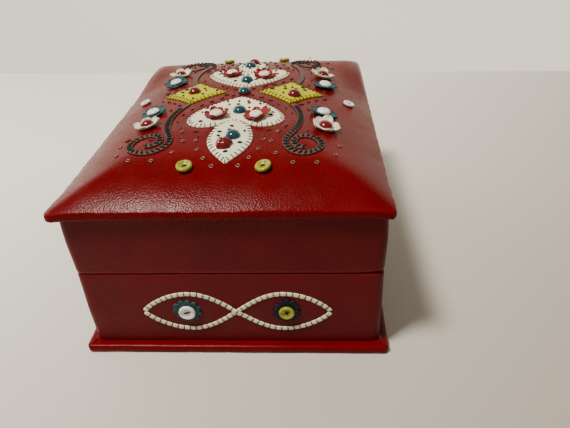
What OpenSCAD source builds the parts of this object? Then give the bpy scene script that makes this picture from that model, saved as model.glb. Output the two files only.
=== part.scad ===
// Padded leather jewellery case. A board-walled tray stands on a plinth board
// and a domed, padded lid turns on a leather strip along the back.
// Millimetres. X runs across the front, Y from the front to the back, Z up from
// the table. The origin is the middle of the underside.

/* [Case] */
// Width of the tray over its leather
case_w = 153; // [144:1:156]
// Depth of the tray over its leather, front to back
case_d = 200; // [194:1:210]
// Height of the parting line between the tray and the lid
parting_z = 51; // [47:0.5:56]
// Clearance between the two leather edges at the parting line
parting_gap = 0.4; // [0.3:0.1:1]
// Height of the lid's walls below the lid board
skirt_h = 33.6; // [30:0.2:38]
// Radius of the upright corners over the leather
corner_r = 4; // [3:0.5:6]

/* [Plinth] */
// Thickness of the wrapped plinth board
plinth_h = 4.8; // [4.8:0.2:7]
// How far the plinth stands out beyond the walls
plinth_over = 4.7; // [4.4:0.1:6]

/* [Lid] */
// Thickness of the wrapped edge of the lid board
lid_edge_h = 4.2; // [3.8:0.1:5]
// How far the lid board stands out beyond the front and back walls
lid_over = 3.2; // [2.5:0.1:4]
// How far the lid board stands out beyond the side walls
lid_side_over = 1.7; // [1.2:0.1:4]
// Rise of the padded crown above the lid board's edge
crown_h = 16.3; // [14:0.1:18]
// Fullness of the crown from side to side, where 2 is a parabola
crown_px = 3.3; // [2.4:0.1:4]
// Fullness of the crown from front to back
crown_py = 4.6; // [3:0.1:6]

/* [Layers] */
// Thickness of the wall boards
board_t = 3; // [2.5:0.1:3.5]
// Thickness of the cover leather
skin_t = 1; // [0.8:0.1:1.2]
// Thickness of the suede linings
lining_t = 0.8; // [0.6:0.1:1]
// Thickness of the padded floor
floor_t = 3; // [2:0.5:5]
// Thickness of the padded ceiling of the lid
ceiling_t = 4; // [3:0.5:5]

/* [Hinge] */
// Width of the outer hinge strip
hinge_w = 140; // [110:1:144]
// Thickness of the outer hinge strip
hinge_t = 0.9; // [0.8:0.1:1.1]
// How far each leaf of the hinge runs from the parting line
hinge_leaf = 12; // [8:1:16]
// Thickness of the suede strip inside the hinge
inner_hinge_t = 0.6; // [0.4:0.1:0.8]

/* [Decoration] */
// Thickness of the applied leather shapes
applique_t = 0.8; // [0.6:0.1:1]
// Width of the scroll straps
strap_w = 3.4; // [2.6:0.2:4]
// Spacing of the blanket stitches
stitch_pitch = 2.4; // [2:0.1:3.2]
// Diameter of the glossy domes
dome_d = 7.6; // [6.6:0.2:8.4]
// Diameter of the sewn buttons on the lid
button_d = 8.4; // [7:0.2:9]
// Diameter of the raised flowers
flower_d = 15; // [13:0.2:15.6]
// Width of the lacing on the front
lace_w = 2.6; // [2:0.1:3]
// Diameter of the pierced rings round the shapes
ring_d = 2.4; // [1.6:0.1:2.4]
// How far the lid's design sits to the right of the middle
motif_x = 1.2; // [0:0.2:2]

/* [Hidden] */
$fn = 48;

gap = 0.05;                                    // hairline between glued pieces
base_top = parting_z - parting_gap / 2;        // top of the tray's leather edge
lid_low = parting_z + parting_gap / 2;         // bottom of the lid's leather edge
board_z = lid_low + skirt_h;                   // underside of the lid board
edge_z = board_z + lid_edge_h;                 // top of the lid board's edge
half_w = case_w / 2;
half_d = case_d / 2;
lid_a = half_w + lid_side_over;                // half width of the lid board
lid_b = half_d + lid_over;                     // half depth of the lid board
in_w = case_w - 2 * (skin_t + board_t);        // between the side boards
in_d = case_d - 2 * (skin_t + board_t);        // between the front and back boards
floor_z = plinth_h + floor_t;
turn_in = 16;                                  // width of the leather turned under a board
ease = 1.2;                                    // how far the padding stays inside the leather
mitre = 6;                                     // softness of the crown's four mitres
slices = 9;                                    // contour slices of the crown
corner_steps = 6;                              // points round each corner of a slice
lift = applique_t + 2 * gap;                   // height of what lies on an applied shape
flower_mid_h = 1.3;                            // height of a flower's middle, under its dome
thread = [0.4, 2, 0.25];                       // width, length and thickness of a blanket stitch
cross_thread = [2.6, 0.7, 0.3];                // the same of a stitch over a scroll strap
cross_lean = 60;                               // angle of those stitches to the strap
stitch_inset = 1.3;                            // from a shape's edge to the middle of its stitches
lace_thread = [0.4, lace_w, 0.25];             // a stitch over the lacing
lace_pitch = 3.2;
dome_h = 3.6;                                  // height of a dome that stands alone
low_dome_h = 2.6;                              // height of a dome in a flower
button_h = 2.4;
white_button_h = 1.8;
dish = 0.62;                                   // height of a button's dish, as a share of its rim

RED = "#9e1218";
WINE = "#5e1016";
SUEDE = "#6b4a3c";
IVORY = "#e6e4d4";
LIME = "#b9bd2c";
TEAL = "#1d4f56";
NAVY = "#1a2230";
SCARLET = "#9c1420";
CHARCOAL = "#3a332e";
THREAD = "#1d1a17";
CARD = "#a08a68";
FOAM = "#d8cfa8";

// ---- places of the decoration, before the design's offset ----
diamond_at = [[-29.4, 6.2], [28.6, 4.3]];      // centres of the lime diamonds, left and right
diamond_rx = 19;
diamond_ry = 18;
strap_start = [29.4, -14];                     // where a scroll leaves the diamond
strap_heading = -61.4;
wide_strap_start = [29.4, -12];                // the front left scroll stands further out
wide_strap_heading = -57.9;
strap_arcs = [[43.8, -58], [11, 93], [9.6, 143], [7.5, 135], [5, 130]];
small_strap_arcs = [[43.8, -58], [10.4, 93], [8.2, 143], [6.8, 135], [4.6, 130]];
outer_turns = 3;                               // arcs that the pierced rings follow
teal_flower_at = [[-48.8, -20.2], [46.9, -24.9], [-46.5, 28.1], [48.7, 20.2]];
white_flower_at = [[-47.4, -38.4], [47.6, -43.6], [-47, 44.3], [47.8, 38.4]];
heart_flower_at = [[-10.3, -34.4], [11.3, -36.7], [-10.6, 33.3], [10.4, 29.7]];
lime_button_at = [[-18.8, -81], [18.2, -81.6], [-19.5, 80.2], [20.6, 80.2]];
white_button_at = [[-61.7, 6.5], [62.2, -0.2]];
bare_teal_dome_at = [0.5, 3.4];                // the one that stands on the red leather
teal_dome_at = [[1.4, -27.8], [1.5, -57.9], [0.1, 21.9], [-0.8, 53.2]];
red_dome_at = [[-29.9, 4.8], [30.4, -2.7], [-2, -65.6], [0.8, 62.5]];
front_shift = 2.6;                             // the front heart sits this far back
rear_scale = 0.82;                             // the rear heart is shorter by this
rear_shift = 6.8;
rear_drop_scale = 0.95;
eye_mid = [2.6, 26.6];                         // crossing of the lacing on the front
eye_l = 48;                                    // length of one eye
eye_h = 11.9;                                  // half height of one eye
teal_eye_x = -22.9;
navy_eye_x = 28.3;
front_flower_d = 15;
front_button_d = 9;
front_button_h = 2;

// Height of the lid's leather over a point of its plan
function crown_z(x, y, grow = 0) =
    let (u = pow(abs(x) / (lid_a - grow), crown_px), v = pow(abs(y) / (lid_b - grow), crown_py))
    edge_z + crown_h * (1 - pow(pow(u, mitre) + pow(v, mitre), 1 / mitre));

// One contour of the crown, at the fraction s of its drop
function contour(a, b, s) =
    [for (q = [0:3], k = [0:corner_steps - 1])
        let (t = 90 * (q + k / corner_steps), c = cos(t), d = sin(t))
        [a * pow(s, 1 / crown_px) * sign(c) * pow(abs(c), 2 / (mitre * crown_px)),
         b * pow(s, 1 / crown_py) * sign(d) * pow(abs(d), 2 / (mitre * crown_py))]];

// Points of a cubic curve, without its last point
function cubic(p, n = 10) =
    [for (i = [0:n - 1]) let (t = i / n, r = 1 - t)
        r * r * r * p[0] + 3 * r * r * t * p[1] + 3 * r * t * t * p[2] + t * t * t * p[3]];

// A right-hand half outline closed with its mirror image
function closed(half) =
    concat(half, [for (i = [len(half) - 2:-1:1]) [-half[i][0], half[i][1]]]);

// A path of arcs that leave each other without a kink: [radius, turn] each
function arc_path(p, h, arcs, i = 0) =
    i == len(arcs) ? [p] :
    let (r = arcs[i][0] * sign(arcs[i][1]), a = arcs[i][1], n = ceil(abs(a) / 9),
         c = p + r * [-sin(h), cos(h)])
    concat([for (k = [0:n - 1]) c + r * [sin(h + a * k / n), -cos(h + a * k / n)]],
           arc_path(c + r * [sin(h + a), -cos(h + a)], h + a, arcs, i + 1));

function stations(p) =
    [for (i = 0, s = 0; i < len(p); i = i + 1, s = s + (i < len(p) ? norm(p[i] - p[i - 1]) : 0)) s];

function station(p, st, s) =
    let (i = max([for (j = [0:len(p) - 2]) if (st[j] <= s) j]), d = p[i + 1] - p[i])
    [p[i] + d * (s - st[i]) / (st[i + 1] - st[i]), atan2(d[1], d[0])];

// Evenly spaced [point, heading] along a path, half a pitch in from its ends
function walk(p, pitch) =
    let (st = stations(p), total = st[len(st) - 1], n = round(total / pitch))
    [for (k = [0:n - 1]) station(p, st, (k + 0.5) * total / n)];

function looped(p) = concat(p, [p[0]]);
function fit(p, sx, sy, dy = 0) = [for (q = p) [q[0] * sx, q[1] * sy + dy]];
function scroll_path(sx, sy) = fit(sx > 0 ? small_strap : sy > 0 ? wide_strap : strap, sx, sy);
function side(w, d) = [for (q = w) q[0] + d * [-sin(q[1]), cos(q[1])]];

// Outline of a strip of width w along a path
function strip(p, w) =
    let (n = len(p), d = [for (i = [0:n - 1]) p[min(i + 1, n - 1)] - p[max(i - 1, 0)]],
         q = [for (i = [0:n - 1]) [-d[i][1], d[i][0]] / norm(d[i]) * w / 2])
    concat([for (i = [0:n - 1]) p[i] + q[i]], [for (i = [n - 1:-1:0]) p[i] - q[i]]);

heart_half = concat(cubic([[0, -7], [7, -9.5], [26, -26], [26.3, -38]]),
                    cubic([[26.3, -38], [26.6, -49], [13, -52], [3, -42.6]]), [[0, -40.6]]);
teardrop_half = concat(cubic([[0, -39.2], [7, -40], [11.5, -50], [11.5, -58.5]]),
                       cubic([[11.5, -58.5], [11.5, -67.5], [5, -74], [0, -79]]), [[0, -79]]);
front_heart = fit(closed(heart_half), 1, 1, front_shift);
rear_heart = fit(closed(heart_half), 1, -rear_scale, rear_shift);
front_drop = closed(teardrop_half);
rear_drop = fit(front_drop, 1, -rear_drop_scale, 0);
rhomb = [[diamond_rx, 0], [0, diamond_ry], [-diamond_rx, 0], [0, -diamond_ry]];
diamonds = [for (d = diamond_at) [for (q = rhomb) q + d]];
strap = arc_path(strap_start, strap_heading, strap_arcs);
small_strap = arc_path(strap_start, strap_heading, small_strap_arcs);
wide_strap = arc_path(wide_strap_start, wide_strap_heading, strap_arcs);
lace = [for (i = [0:40]) let (u = i / 20 - 1) eye_mid + [eye_l * u, -eye_h * sin(180 * u)]];

module plate(w, d, r) {
    square([w - 2 * r, d], center = true);
    square([w, d - 2 * r], center = true);
    for (sx = [-1, 1], sy = [-1, 1])
        translate([sx * (w / 2 - r), sy * (d / 2 - r)]) circle(r);
}

module slab(w, d, r, z0, z1) {
    translate([0, 0, z0]) linear_extrude(z1 - z0) plate(w, d, r);
}

// Convex body of the crown, drawn in by grow and lowered by drop, from z0 up
module crown_body(grow, drop, z0) {
    a = lid_a - grow;
    b = lid_b - grow;
    hull() {
        translate([0, 0, z0]) linear_extrude(gap) polygon(contour(a, b, 1));
        for (i = [0:slices])
            let (s = min(pow(1 - i / slices, 2) + 0.004, 1))
            translate([0, 0, max(z0, edge_z + crown_h * (1 - s) - drop)]) linear_extrude(0.01)
                polygon(contour(a, b, s));
    }
}

// Puts its children on the crown's leather at a point of the design, tilted with the surface
module on_crown(p, up = gap) {
    x = p[0] + motif_x;
    y = p[1];
    e = 0.5;
    dx = (crown_z(x + e, y) - crown_z(x - e, y)) / (2 * e);
    dy = (crown_z(x, y + e) - crown_z(x, y - e)) / (2 * e);
    translate([x, y, crown_z(x, y)]) rotate([atan(dy), -atan(dx), 0])
        translate([0, 0, up]) children();
}

// An outline of the design, drawn out upwards through the crown
module through_crown(points) {
    translate([motif_x, 0, board_z]) linear_extrude(2 * crown_h + lid_edge_h) polygon(points);
}

// A flat shape of leather laid over the crown
module applique(points) {
    intersection() {
        difference() {
            crown_body(0, -applique_t - gap, board_z);
            crown_body(0, -gap, board_z);
        }
        through_crown(points);
    }
}

module wall_ring(w, d, r, t, z0, z1) {
    difference() {
        slab(w, d, r, z0, z1);
        slab(w - 2 * t, d - 2 * t, max(r - t, 0.5), z0 - 1, z1 + 1);
    }
}

// The board on one side: the part of the wall ring inside a block
module wall_board(side_x, side_y, z0, z1) {
    intersection() {
        slab(case_w - 2 * skin_t, case_d - 2 * skin_t, corner_r - skin_t, z0, z1);
        if (side_x == 0)
            translate([-half_w, side_y * (half_d - skin_t - board_t / 2) - board_t / 2, z0])
                cube([case_w, board_t, z1 - z0]);
        else
            translate([side_x * (half_w - skin_t - board_t / 2) - board_t / 2,
                       -in_d / 2 + gap, z0]) cube([board_t, in_d - 2 * gap, z1 - z0]);
    }
}

// Four panels of suede inside the walls
module linings(z0, z1) {
    x = in_w / 2 - gap - lining_t / 2;
    y = in_d / 2 - gap - lining_t / 2;
    for (s = [-1, 1]) {
        translate([0, s * y, (z0 + z1) / 2]) cube([in_w - 2 * gap, lining_t, z1 - z0], center = true);
        translate([s * x, 0, (z0 + z1) / 2])
            cube([lining_t, in_d - 4 * gap - 2 * lining_t, z1 - z0], center = true);
    }
}

module glass_dome(d, h) {
    r = (d * d / 4 + h * h) / (2 * h);
    difference() {
        translate([0, 0, h - r]) sphere(r);
        translate([0, 0, -2 * r]) cube(4 * r, center = true);
    }
}

// A dished button with a rolled rim
module sewn_button(d, h) {
    r = d / 2;
    rotate_extrude() polygon([[0, 0], [r * 0.7, 0], [r * 0.95, h * 0.25], [r, h * 0.55],
                              [r * 0.94, h * 0.85], [r * 0.8, h], [r * 0.6, h * 0.8], [r * 0.48, h * dish],
                              [0, h * dish]]);
}

// A flower of turned-up leather petals round a flat middle
module petal_flower(d, petals) {
    petal_r = d * 0.155;
    cylinder(r = d * 0.29, h = 0.7);
    cylinder(r = d * 0.2, h = flower_mid_h);
    for (i = [0:petals - 1])
        rotate(360 * i / petals) translate([d / 2 - petal_r * 0.9, 0, 1.5])
            rotate([0, -30, 0]) cylinder(r = petal_r, h = 0.8, center = true);
}

// A flat flower with a scalloped edge
module scalloped_flower(d, petals, h) {
    cylinder(d = d * 0.84, h = h);
    for (i = [0:petals - 1])
        rotate(360 * i / petals) translate([d * 0.4, 0, 0]) cylinder(d = d * 0.2, h = h);
}

// Short threads on the applied shapes, pointing inwards from the edge
module edge_stitches(path, inset) {
    for (q = walk(path, stitch_pitch))
        on_crown(q[0] + inset * [-sin(q[1]), cos(q[1])], lift + gap + thread[2] / 2)
            rotate(q[1]) cube(thread, center = true);
}

module on_front(x, z, y0) {
    translate([x, -half_d - y0, z]) rotate([90, 0, 0]) children();
}

module base_board() {
    color(CARD) slab(case_w + 2 * plinth_over - 2 * skin_t, case_d + 2 * plinth_over - 2 * skin_t,
                     2, skin_t + gap, plinth_h - skin_t - gap);
}

module base_board_leather() {
    w = case_w + 2 * plinth_over;
    d = case_d + 2 * plinth_over;
    color(RED) difference() {
        slab(w, d, 3, 0, plinth_h);
        slab(w - 2 * skin_t + gap, d - 2 * skin_t + gap, 2, skin_t, plinth_h - skin_t);
        slab(w - 2 * turn_in, d - 2 * turn_in, 2, -1, skin_t + 1);
    }
}

module base_underlay() {
    color(SUEDE) slab(case_w + 2 * (plinth_over - turn_in) - 2 * gap,
                      case_d + 2 * (plinth_over - turn_in) - 2 * gap, 2, 0, skin_t);
}

module base_front_wall() { color(CARD) wall_board(0, -1, plinth_h, base_top - skin_t); }
module base_back_wall() { color(CARD) wall_board(0, 1, plinth_h, base_top - skin_t); }
module base_left_wall() { color(CARD) wall_board(-1, 0, plinth_h, base_top - skin_t); }
module base_right_wall() { color(CARD) wall_board(1, 0, plinth_h, base_top - skin_t); }

module base_wall_leather() {
    color(WINE) {
        wall_ring(case_w, case_d, corner_r, skin_t, plinth_h, base_top - skin_t);
        wall_ring(case_w, case_d, corner_r, skin_t + board_t, base_top - skin_t, base_top);
    }
}

module base_floor_pad() {
    color(SUEDE) slab(in_w - 4 * gap, in_d - 4 * gap, 1, plinth_h, floor_z - gap);
}

module base_wall_linings() { color(SUEDE) linings(floor_z, base_top - gap); }

module hinge_leather_lower() {
    color(WINE) translate([-hinge_w / 2, half_d, parting_z - hinge_leaf])
        cube([hinge_w, hinge_t, hinge_leaf - 0.5]);
}

module hinge_leather_upper() {
    color(WINE) translate([-hinge_w / 2, half_d, parting_z + 0.5])
        cube([hinge_w, hinge_t, hinge_leaf - 0.5]);
}

module inner_hinge_leaf(z0) {
    y = in_d / 2 - 2 * gap - lining_t - inner_hinge_t;
    color(SUEDE) translate([-hinge_w / 2 + 5, y, z0])
        cube([hinge_w - 10, inner_hinge_t, hinge_leaf - 1.5]);
}

module inner_hinge_lower() { inner_hinge_leaf(parting_z - hinge_leaf + 0.5); }
module inner_hinge_upper() { inner_hinge_leaf(parting_z + 1); }

module front_lace_over() {
    color(IVORY) on_front(0, 0, gap) linear_extrude(applique_t) polygon(strip(lace, lace_w));
}

module front_lace_under() {
    color(IVORY) on_front(0, 0, gap) linear_extrude(applique_t) difference() {
        polygon(strip([for (q = lace) [q[0], 2 * eye_mid[1] - q[1]]], lace_w));
        polygon(strip(lace, lace_w + 4 * gap));
    }
}

module front_lace_stitches() {
    color(THREAD) for (q = walk(lace, lace_pitch), s = [-1, 1])
        on_front(q[0][0], eye_mid[1] + s * (q[0][1] - eye_mid[1]), lift)
            rotate(s * q[1]) translate([0, 0, 0.15 + 0.3 * (1 + s) / 2])
                cube(lace_thread, center = true);
}

module front_teal_flower() {
    color(TEAL) on_front(teal_eye_x, eye_mid[1], gap) scalloped_flower(front_flower_d, 11, 0.8);
}

module front_navy_flower() {
    color(NAVY) on_front(navy_eye_x, eye_mid[1], gap) scalloped_flower(front_flower_d, 12, 0.8);
}

module front_white_button() {
    color(IVORY) on_front(teal_eye_x, eye_mid[1], lift) sewn_button(front_button_d, front_button_h);
}

module front_lime_button() {
    color(LIME) on_front(navy_eye_x, eye_mid[1], lift) sewn_button(front_button_d, front_button_h);
}

module front_button_stitches() {
    color(THREAD) for (x = [teal_eye_x, navy_eye_x])
        on_front(x, eye_mid[1], lift + front_button_h * dish + gap) rotate(10)
            translate([-1.5, -0.3, 0]) cube([3, 0.6, 0.4]);
}

module lid_board() {
    color(CARD) slab(2 * (lid_a - skin_t), 2 * (lid_b - skin_t), 2,
                     board_z + skin_t + gap, edge_z - skin_t - gap);
}

module lid_padding() {
    color(FOAM) crown_body(ease + 0.3, skin_t + 4 * gap, edge_z - skin_t);
}

module lid_top_leather() {
    color(RED) difference() {
        union() {
            crown_body(0, 0, edge_z - gap);
            slab(2 * lid_a, 2 * lid_b, 3, board_z, edge_z);
        }
        crown_body(ease - gap, skin_t, edge_z - 2 * skin_t);
        slab(2 * (lid_a - skin_t) + gap, 2 * (lid_b - skin_t) + gap, 2, board_z + skin_t, edge_z - skin_t);
        slab(in_w - 20, in_d - 20, 2, board_z - 1, board_z + skin_t + 1);
    }
}

module lid_front_wall() { color(CARD) wall_board(0, -1, lid_low + skin_t, board_z); }
module lid_back_wall() { color(CARD) wall_board(0, 1, lid_low + skin_t, board_z); }
module lid_left_wall() { color(CARD) wall_board(-1, 0, lid_low + skin_t, board_z); }
module lid_right_wall() { color(CARD) wall_board(1, 0, lid_low + skin_t, board_z); }

module lid_wall_leather() {
    color(WINE) {
        wall_ring(case_w, case_d, corner_r, skin_t + board_t, lid_low, lid_low + skin_t);
        wall_ring(case_w, case_d, corner_r, skin_t, lid_low + skin_t, board_z);
    }
}

module lid_ceiling_pad() {
    color(SUEDE) slab(in_w - 4 * gap, in_d - 4 * gap, 1, board_z - ceiling_t, board_z - gap);
}

module lid_wall_linings() { color(SUEDE) linings(lid_low + gap, board_z - ceiling_t - gap); }

// An outline and a hairline round it, cut out of what is beside it
module cut(points) {
    through_crown(strip(looped(points), 4 * gap));
    through_crown(points);
}

module heart_shape(points, drop) {
    color(IVORY) difference() {
        applique(points);
        cut(drop);
    }
}

module heart_front() { heart_shape(front_heart, front_drop); }
module heart_rear() { heart_shape(rear_heart, rear_drop); }
module teardrop_front() { color(IVORY) applique(front_drop); }
module teardrop_rear() { color(IVORY) applique(rear_drop); }
module diamond_left() { color(LIME) applique(diamonds[0]); }
module diamond_right() { color(LIME) applique(diamonds[1]); }

module scroll(sx, sy) {
    color(CHARCOAL) difference() {
        applique(strip(scroll_path(sx, sy), strap_w));
        cut(diamonds[sx > 0 ? 1 : 0]);
    }
}

module scroll_front_left() { scroll(-1, 1); }
module scroll_front_right() { scroll(1, 1); }
module scroll_rear_left() { scroll(-1, -1); }
module scroll_rear_right() { scroll(1, -1); }

module scroll_stitches() {
    bare = 14;                                 // length of strap at the diamond left without stitches
    color(THREAD) for (sx = [-1, 1], sy = [-1, 1], q = walk(scroll_path(sx, sy), 3))
        if (norm(q[0] - [strap_start[0] * sx, strap_start[1] * sy]) > bare)
            on_crown(q[0], lift + gap + cross_thread[2] / 2)
                rotate(q[1] + cross_lean) cube(cross_thread, center = true);
}

module applique_stitches() {
    notch = 7;                                 // half width of the notch that a teardrop covers
    heart_edge = [for (q = heart_half) if (q[0] > notch || q[1] > -30) q];
    color(THREAD) {
        for (sx = [-1, 1]) {
            edge_stitches(fit(heart_edge, sx, 1, front_shift), -stitch_inset * sx);
            edge_stitches(fit(heart_edge, sx, -rear_scale, rear_shift), stitch_inset * sx);
        }
        edge_stitches(looped(front_drop), -stitch_inset);
        edge_stitches(looped(rear_drop), stitch_inset);
        for (d = diamonds) edge_stitches(looped(d), stitch_inset);
    }
}

module flowers(places, petals, turn, up = gap) {
    for (p = places) on_crown(p, up) rotate(turn * sign(p[0])) petal_flower(flower_d, petals);
}

module flower_domes(places, up) {
    for (p = places) on_crown(p, up + flower_mid_h + gap) glass_dome(dome_d, low_dome_h);
}

module single_domes(places, up = lift) {
    for (p = places) on_crown(p, up) glass_dome(dome_d, dome_h);
}

module teal_flowers() { color(TEAL) flowers(teal_flower_at, 6, 10); }
module white_flowers() { color(IVORY) flowers(white_flower_at, 6, 40); }
module red_flowers() { color(SCARLET) flowers(heart_flower_at, 6, 25, lift); }

module white_domes() {
    color(IVORY) {
        flower_domes(teal_flower_at, gap);
        flower_domes(heart_flower_at, lift);
    }
}

module red_domes() {
    color(SCARLET) {
        flower_domes(white_flower_at, gap);
        single_domes(red_dome_at);
    }
}

module teal_domes() {
    color(TEAL) {
        single_domes([bare_teal_dome_at], gap);
        single_domes(teal_dome_at);
    }
}

module lime_buttons() {
    color(LIME) for (p = lime_button_at) on_crown(p) sewn_button(button_d, button_h);
}

module white_buttons() {
    color(IVORY) for (p = white_button_at) on_crown(p) sewn_button(0.8 * button_d, white_button_h);
}

module button_stitches() {
    color(THREAD) {
        for (p = lime_button_at) on_crown(p, button_h * dish + 4 * gap)
            rotate(8) cube([2.4, 0.6, 0.2], center = true);
        for (p = white_button_at) on_crown(p, white_button_h * dish + 4 * gap)
            rotate(20) cube([1.8, 0.5, 0.2], center = true);
    }
}

// Pierced rings that follow the teardrops and the outside of the scrolls
module pierced_rings() {
    turns = [for (i = [0:outer_turns - 1]) strap_arcs[i]];
    outer = arc_path(strap_start, strap_heading, turns);
    wide = arc_path(wide_strap_start, wide_strap_heading, turns);
    drop_side = side(walk([for (q = teardrop_half) if (q[1] < -56) q], 6.2), 5.5);
    color(CHARCOAL) for (sx = [-1, 1], sy = [-1, 1],
                         p = concat(drop_side, side(walk(sx < 0 && sy > 0 ? wide : outer, 6.4), -7)))
        if (p[1] < -49) on_crown([p[0] * sx, p[1] * sy]) difference() {
            cylinder(d = ring_d, h = 0.4, $fn = 16);
            translate([0, 0, -1]) cylinder(d = ring_d * 0.5, h = 2, $fn = 16);
        }
}

base_board();
base_board_leather();
base_underlay();
base_front_wall();
base_back_wall();
base_left_wall();
base_right_wall();
base_wall_leather();
base_floor_pad();
base_wall_linings();
hinge_leather_lower();
inner_hinge_lower();
front_lace_over();
front_lace_under();
front_lace_stitches();
front_teal_flower();
front_navy_flower();
front_white_button();
front_lime_button();
front_button_stitches();
lid_board();
lid_padding();
lid_top_leather();
lid_front_wall();
lid_back_wall();
lid_left_wall();
lid_right_wall();
lid_wall_leather();
lid_ceiling_pad();
lid_wall_linings();
hinge_leather_upper();
inner_hinge_upper();
heart_front();
heart_rear();
teardrop_front();
teardrop_rear();
diamond_left();
diamond_right();
scroll_front_left();
scroll_front_right();
scroll_rear_left();
scroll_rear_right();
scroll_stitches();
applique_stitches();
teal_flowers();
white_flowers();
red_flowers();
teal_domes();
white_domes();
red_domes();
lime_buttons();
white_buttons();
button_stitches();
pierced_rings();
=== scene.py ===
"""Red leather jewellery case: coverings, sewn shapes, stitching, flowers, buttons, linings and hinge strips,
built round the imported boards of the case. Lengths in this file are millimetres until they reach a mesh."""
import math

import bmesh
import bpy
import numpy as np
from mathutils import Matrix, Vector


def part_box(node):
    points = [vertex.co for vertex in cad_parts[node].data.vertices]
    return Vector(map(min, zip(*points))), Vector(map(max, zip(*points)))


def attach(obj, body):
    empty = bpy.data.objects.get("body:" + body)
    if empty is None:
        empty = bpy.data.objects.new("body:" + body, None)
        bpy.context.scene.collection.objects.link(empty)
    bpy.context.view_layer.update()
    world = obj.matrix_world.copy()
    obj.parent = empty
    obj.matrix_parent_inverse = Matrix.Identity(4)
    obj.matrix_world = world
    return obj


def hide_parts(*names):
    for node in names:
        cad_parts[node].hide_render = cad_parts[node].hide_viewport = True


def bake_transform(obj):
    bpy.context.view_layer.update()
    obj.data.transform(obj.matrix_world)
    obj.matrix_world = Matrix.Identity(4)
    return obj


bl_info = {
    "name": "Leather Jewellery Case",
    "version": (1, 0, 0),
    "blender": (4, 5, 0),
    "location": "View3D > Sidebar > Jewellery Case",
    "description": "Leather, stitching, flowers, buttons and linings of a domed jewellery case",
    "category": "Add Mesh",
}

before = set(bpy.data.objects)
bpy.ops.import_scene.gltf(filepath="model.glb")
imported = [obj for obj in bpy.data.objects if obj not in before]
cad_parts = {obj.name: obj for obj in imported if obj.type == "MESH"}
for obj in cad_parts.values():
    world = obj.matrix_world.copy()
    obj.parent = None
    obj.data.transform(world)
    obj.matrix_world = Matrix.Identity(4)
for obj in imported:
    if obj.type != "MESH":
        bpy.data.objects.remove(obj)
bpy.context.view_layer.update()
MM = 0.001


def span(node):
    """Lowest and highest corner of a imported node, in millimetres."""
    low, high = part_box(node)
    return np.array(low) / MM, np.array(high) / MM


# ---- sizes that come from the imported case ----
COVER_LOW, COVER_HIGH = span("lid_top_leather")
TRAY_LOW, TRAY_HIGH = span("base_wall_leather")
SKIRT_LOW, SKIRT_HIGH = span("lid_wall_leather")
PLINTH_LOW, PLINTH_HIGH = span("base_board_leather")
LID_A, LID_B = COVER_HIGH[0], COVER_HIGH[1]
HALF_W, HALF_D = TRAY_HIGH[0], TRAY_HIGH[1]
BOARD_Z = COVER_LOW[2]
SKIN = 1.0
HAIR = 0.05
EDGE_Z = span("lid_board")[1][2] + SKIN + HAIR
CROWN_H = COVER_HIGH[2] - EDGE_Z
CROWN_PX, CROWN_PY, MITRE = 3.3, 4.6, 6
REAR_FULLNESS = 0.45
SEAM_DIP, SEAM_REACH = 0.38, 1.9
FLARE_LEFT, FLARE_RIGHT = 2.3, 0.9
MOTIF_X = sum(box[0] for box in span("teardrop_front")) / 2
LEAF_T = 0.8
WALL_T = 4.0
HINGE_Y, HINGE_Z = 101.0, 51.0


# ---- outlines of the design, in plan, before the design's offset ----
def cubic(points, count=24):
    """Points of a cubic curve with four control points, without its last point."""
    t = np.linspace(0, 1, count, endpoint=False)[:, None]
    p = np.array(points, float)
    return (1 - t) ** 3 * p[0] + 3 * (1 - t) ** 2 * t * p[1] + 3 * (1 - t) * t ** 2 * p[2] + t ** 3 * p[3]


def closed(half):
    """A half outline on the right-hand side, closed with its mirror image."""
    return np.concatenate([half, half[-2:0:-1] * [-1, 1]])


def arc_path(start, heading, arcs, step=0.9):
    """A path of arcs that leave each other without a kink, each given as radius and turn."""
    point, angle, rows = np.array(start, float), math.radians(heading), []
    for radius, turn in arcs:
        sweep = math.radians(turn)
        r = math.copysign(radius, sweep)
        centre = point + r * np.array([-math.sin(angle), math.cos(angle)])
        t = angle + np.linspace(0, sweep, max(3, int(radius * abs(sweep) / step)), endpoint=False)
        rows.append(centre + r * np.stack([np.sin(t), -np.cos(t)], 1))
        angle += sweep
        point = centre + r * np.array([math.sin(angle), -math.cos(angle)])
    return np.concatenate(rows + [point[None]])


def resample(path, pitch=None, count=None, loop=False, ends=False):
    """Evenly spaced points of a path and the unit tangent at each. With ends, the path's own ends stay."""
    p = np.concatenate([path, path[:1]]) if loop else path
    s = np.concatenate([[0], np.cumsum(np.linalg.norm(np.diff(p, axis=0), axis=1))])
    n = count or max(2, round(s[-1] / pitch))
    at = np.linspace(0, s[-1], n) if ends else (np.arange(n) + 0.5) * s[-1] / n
    step = s[-1] / n * 0.25

    def along(q):
        q = q % s[-1] if loop else np.clip(q, 0, s[-1])
        return np.stack([np.interp(q, s, p[:, 0]), np.interp(q, s, p[:, 1])], 1)

    tangent = along(at + step) - along(at - step)
    return along(at), tangent / np.linalg.norm(tangent, axis=1)[:, None]


def normal_of(tangent):
    """The direction a quarter turn to the left of a tangent."""
    return np.stack([-tangent[..., 1], tangent[..., 0]], -1)


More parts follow.
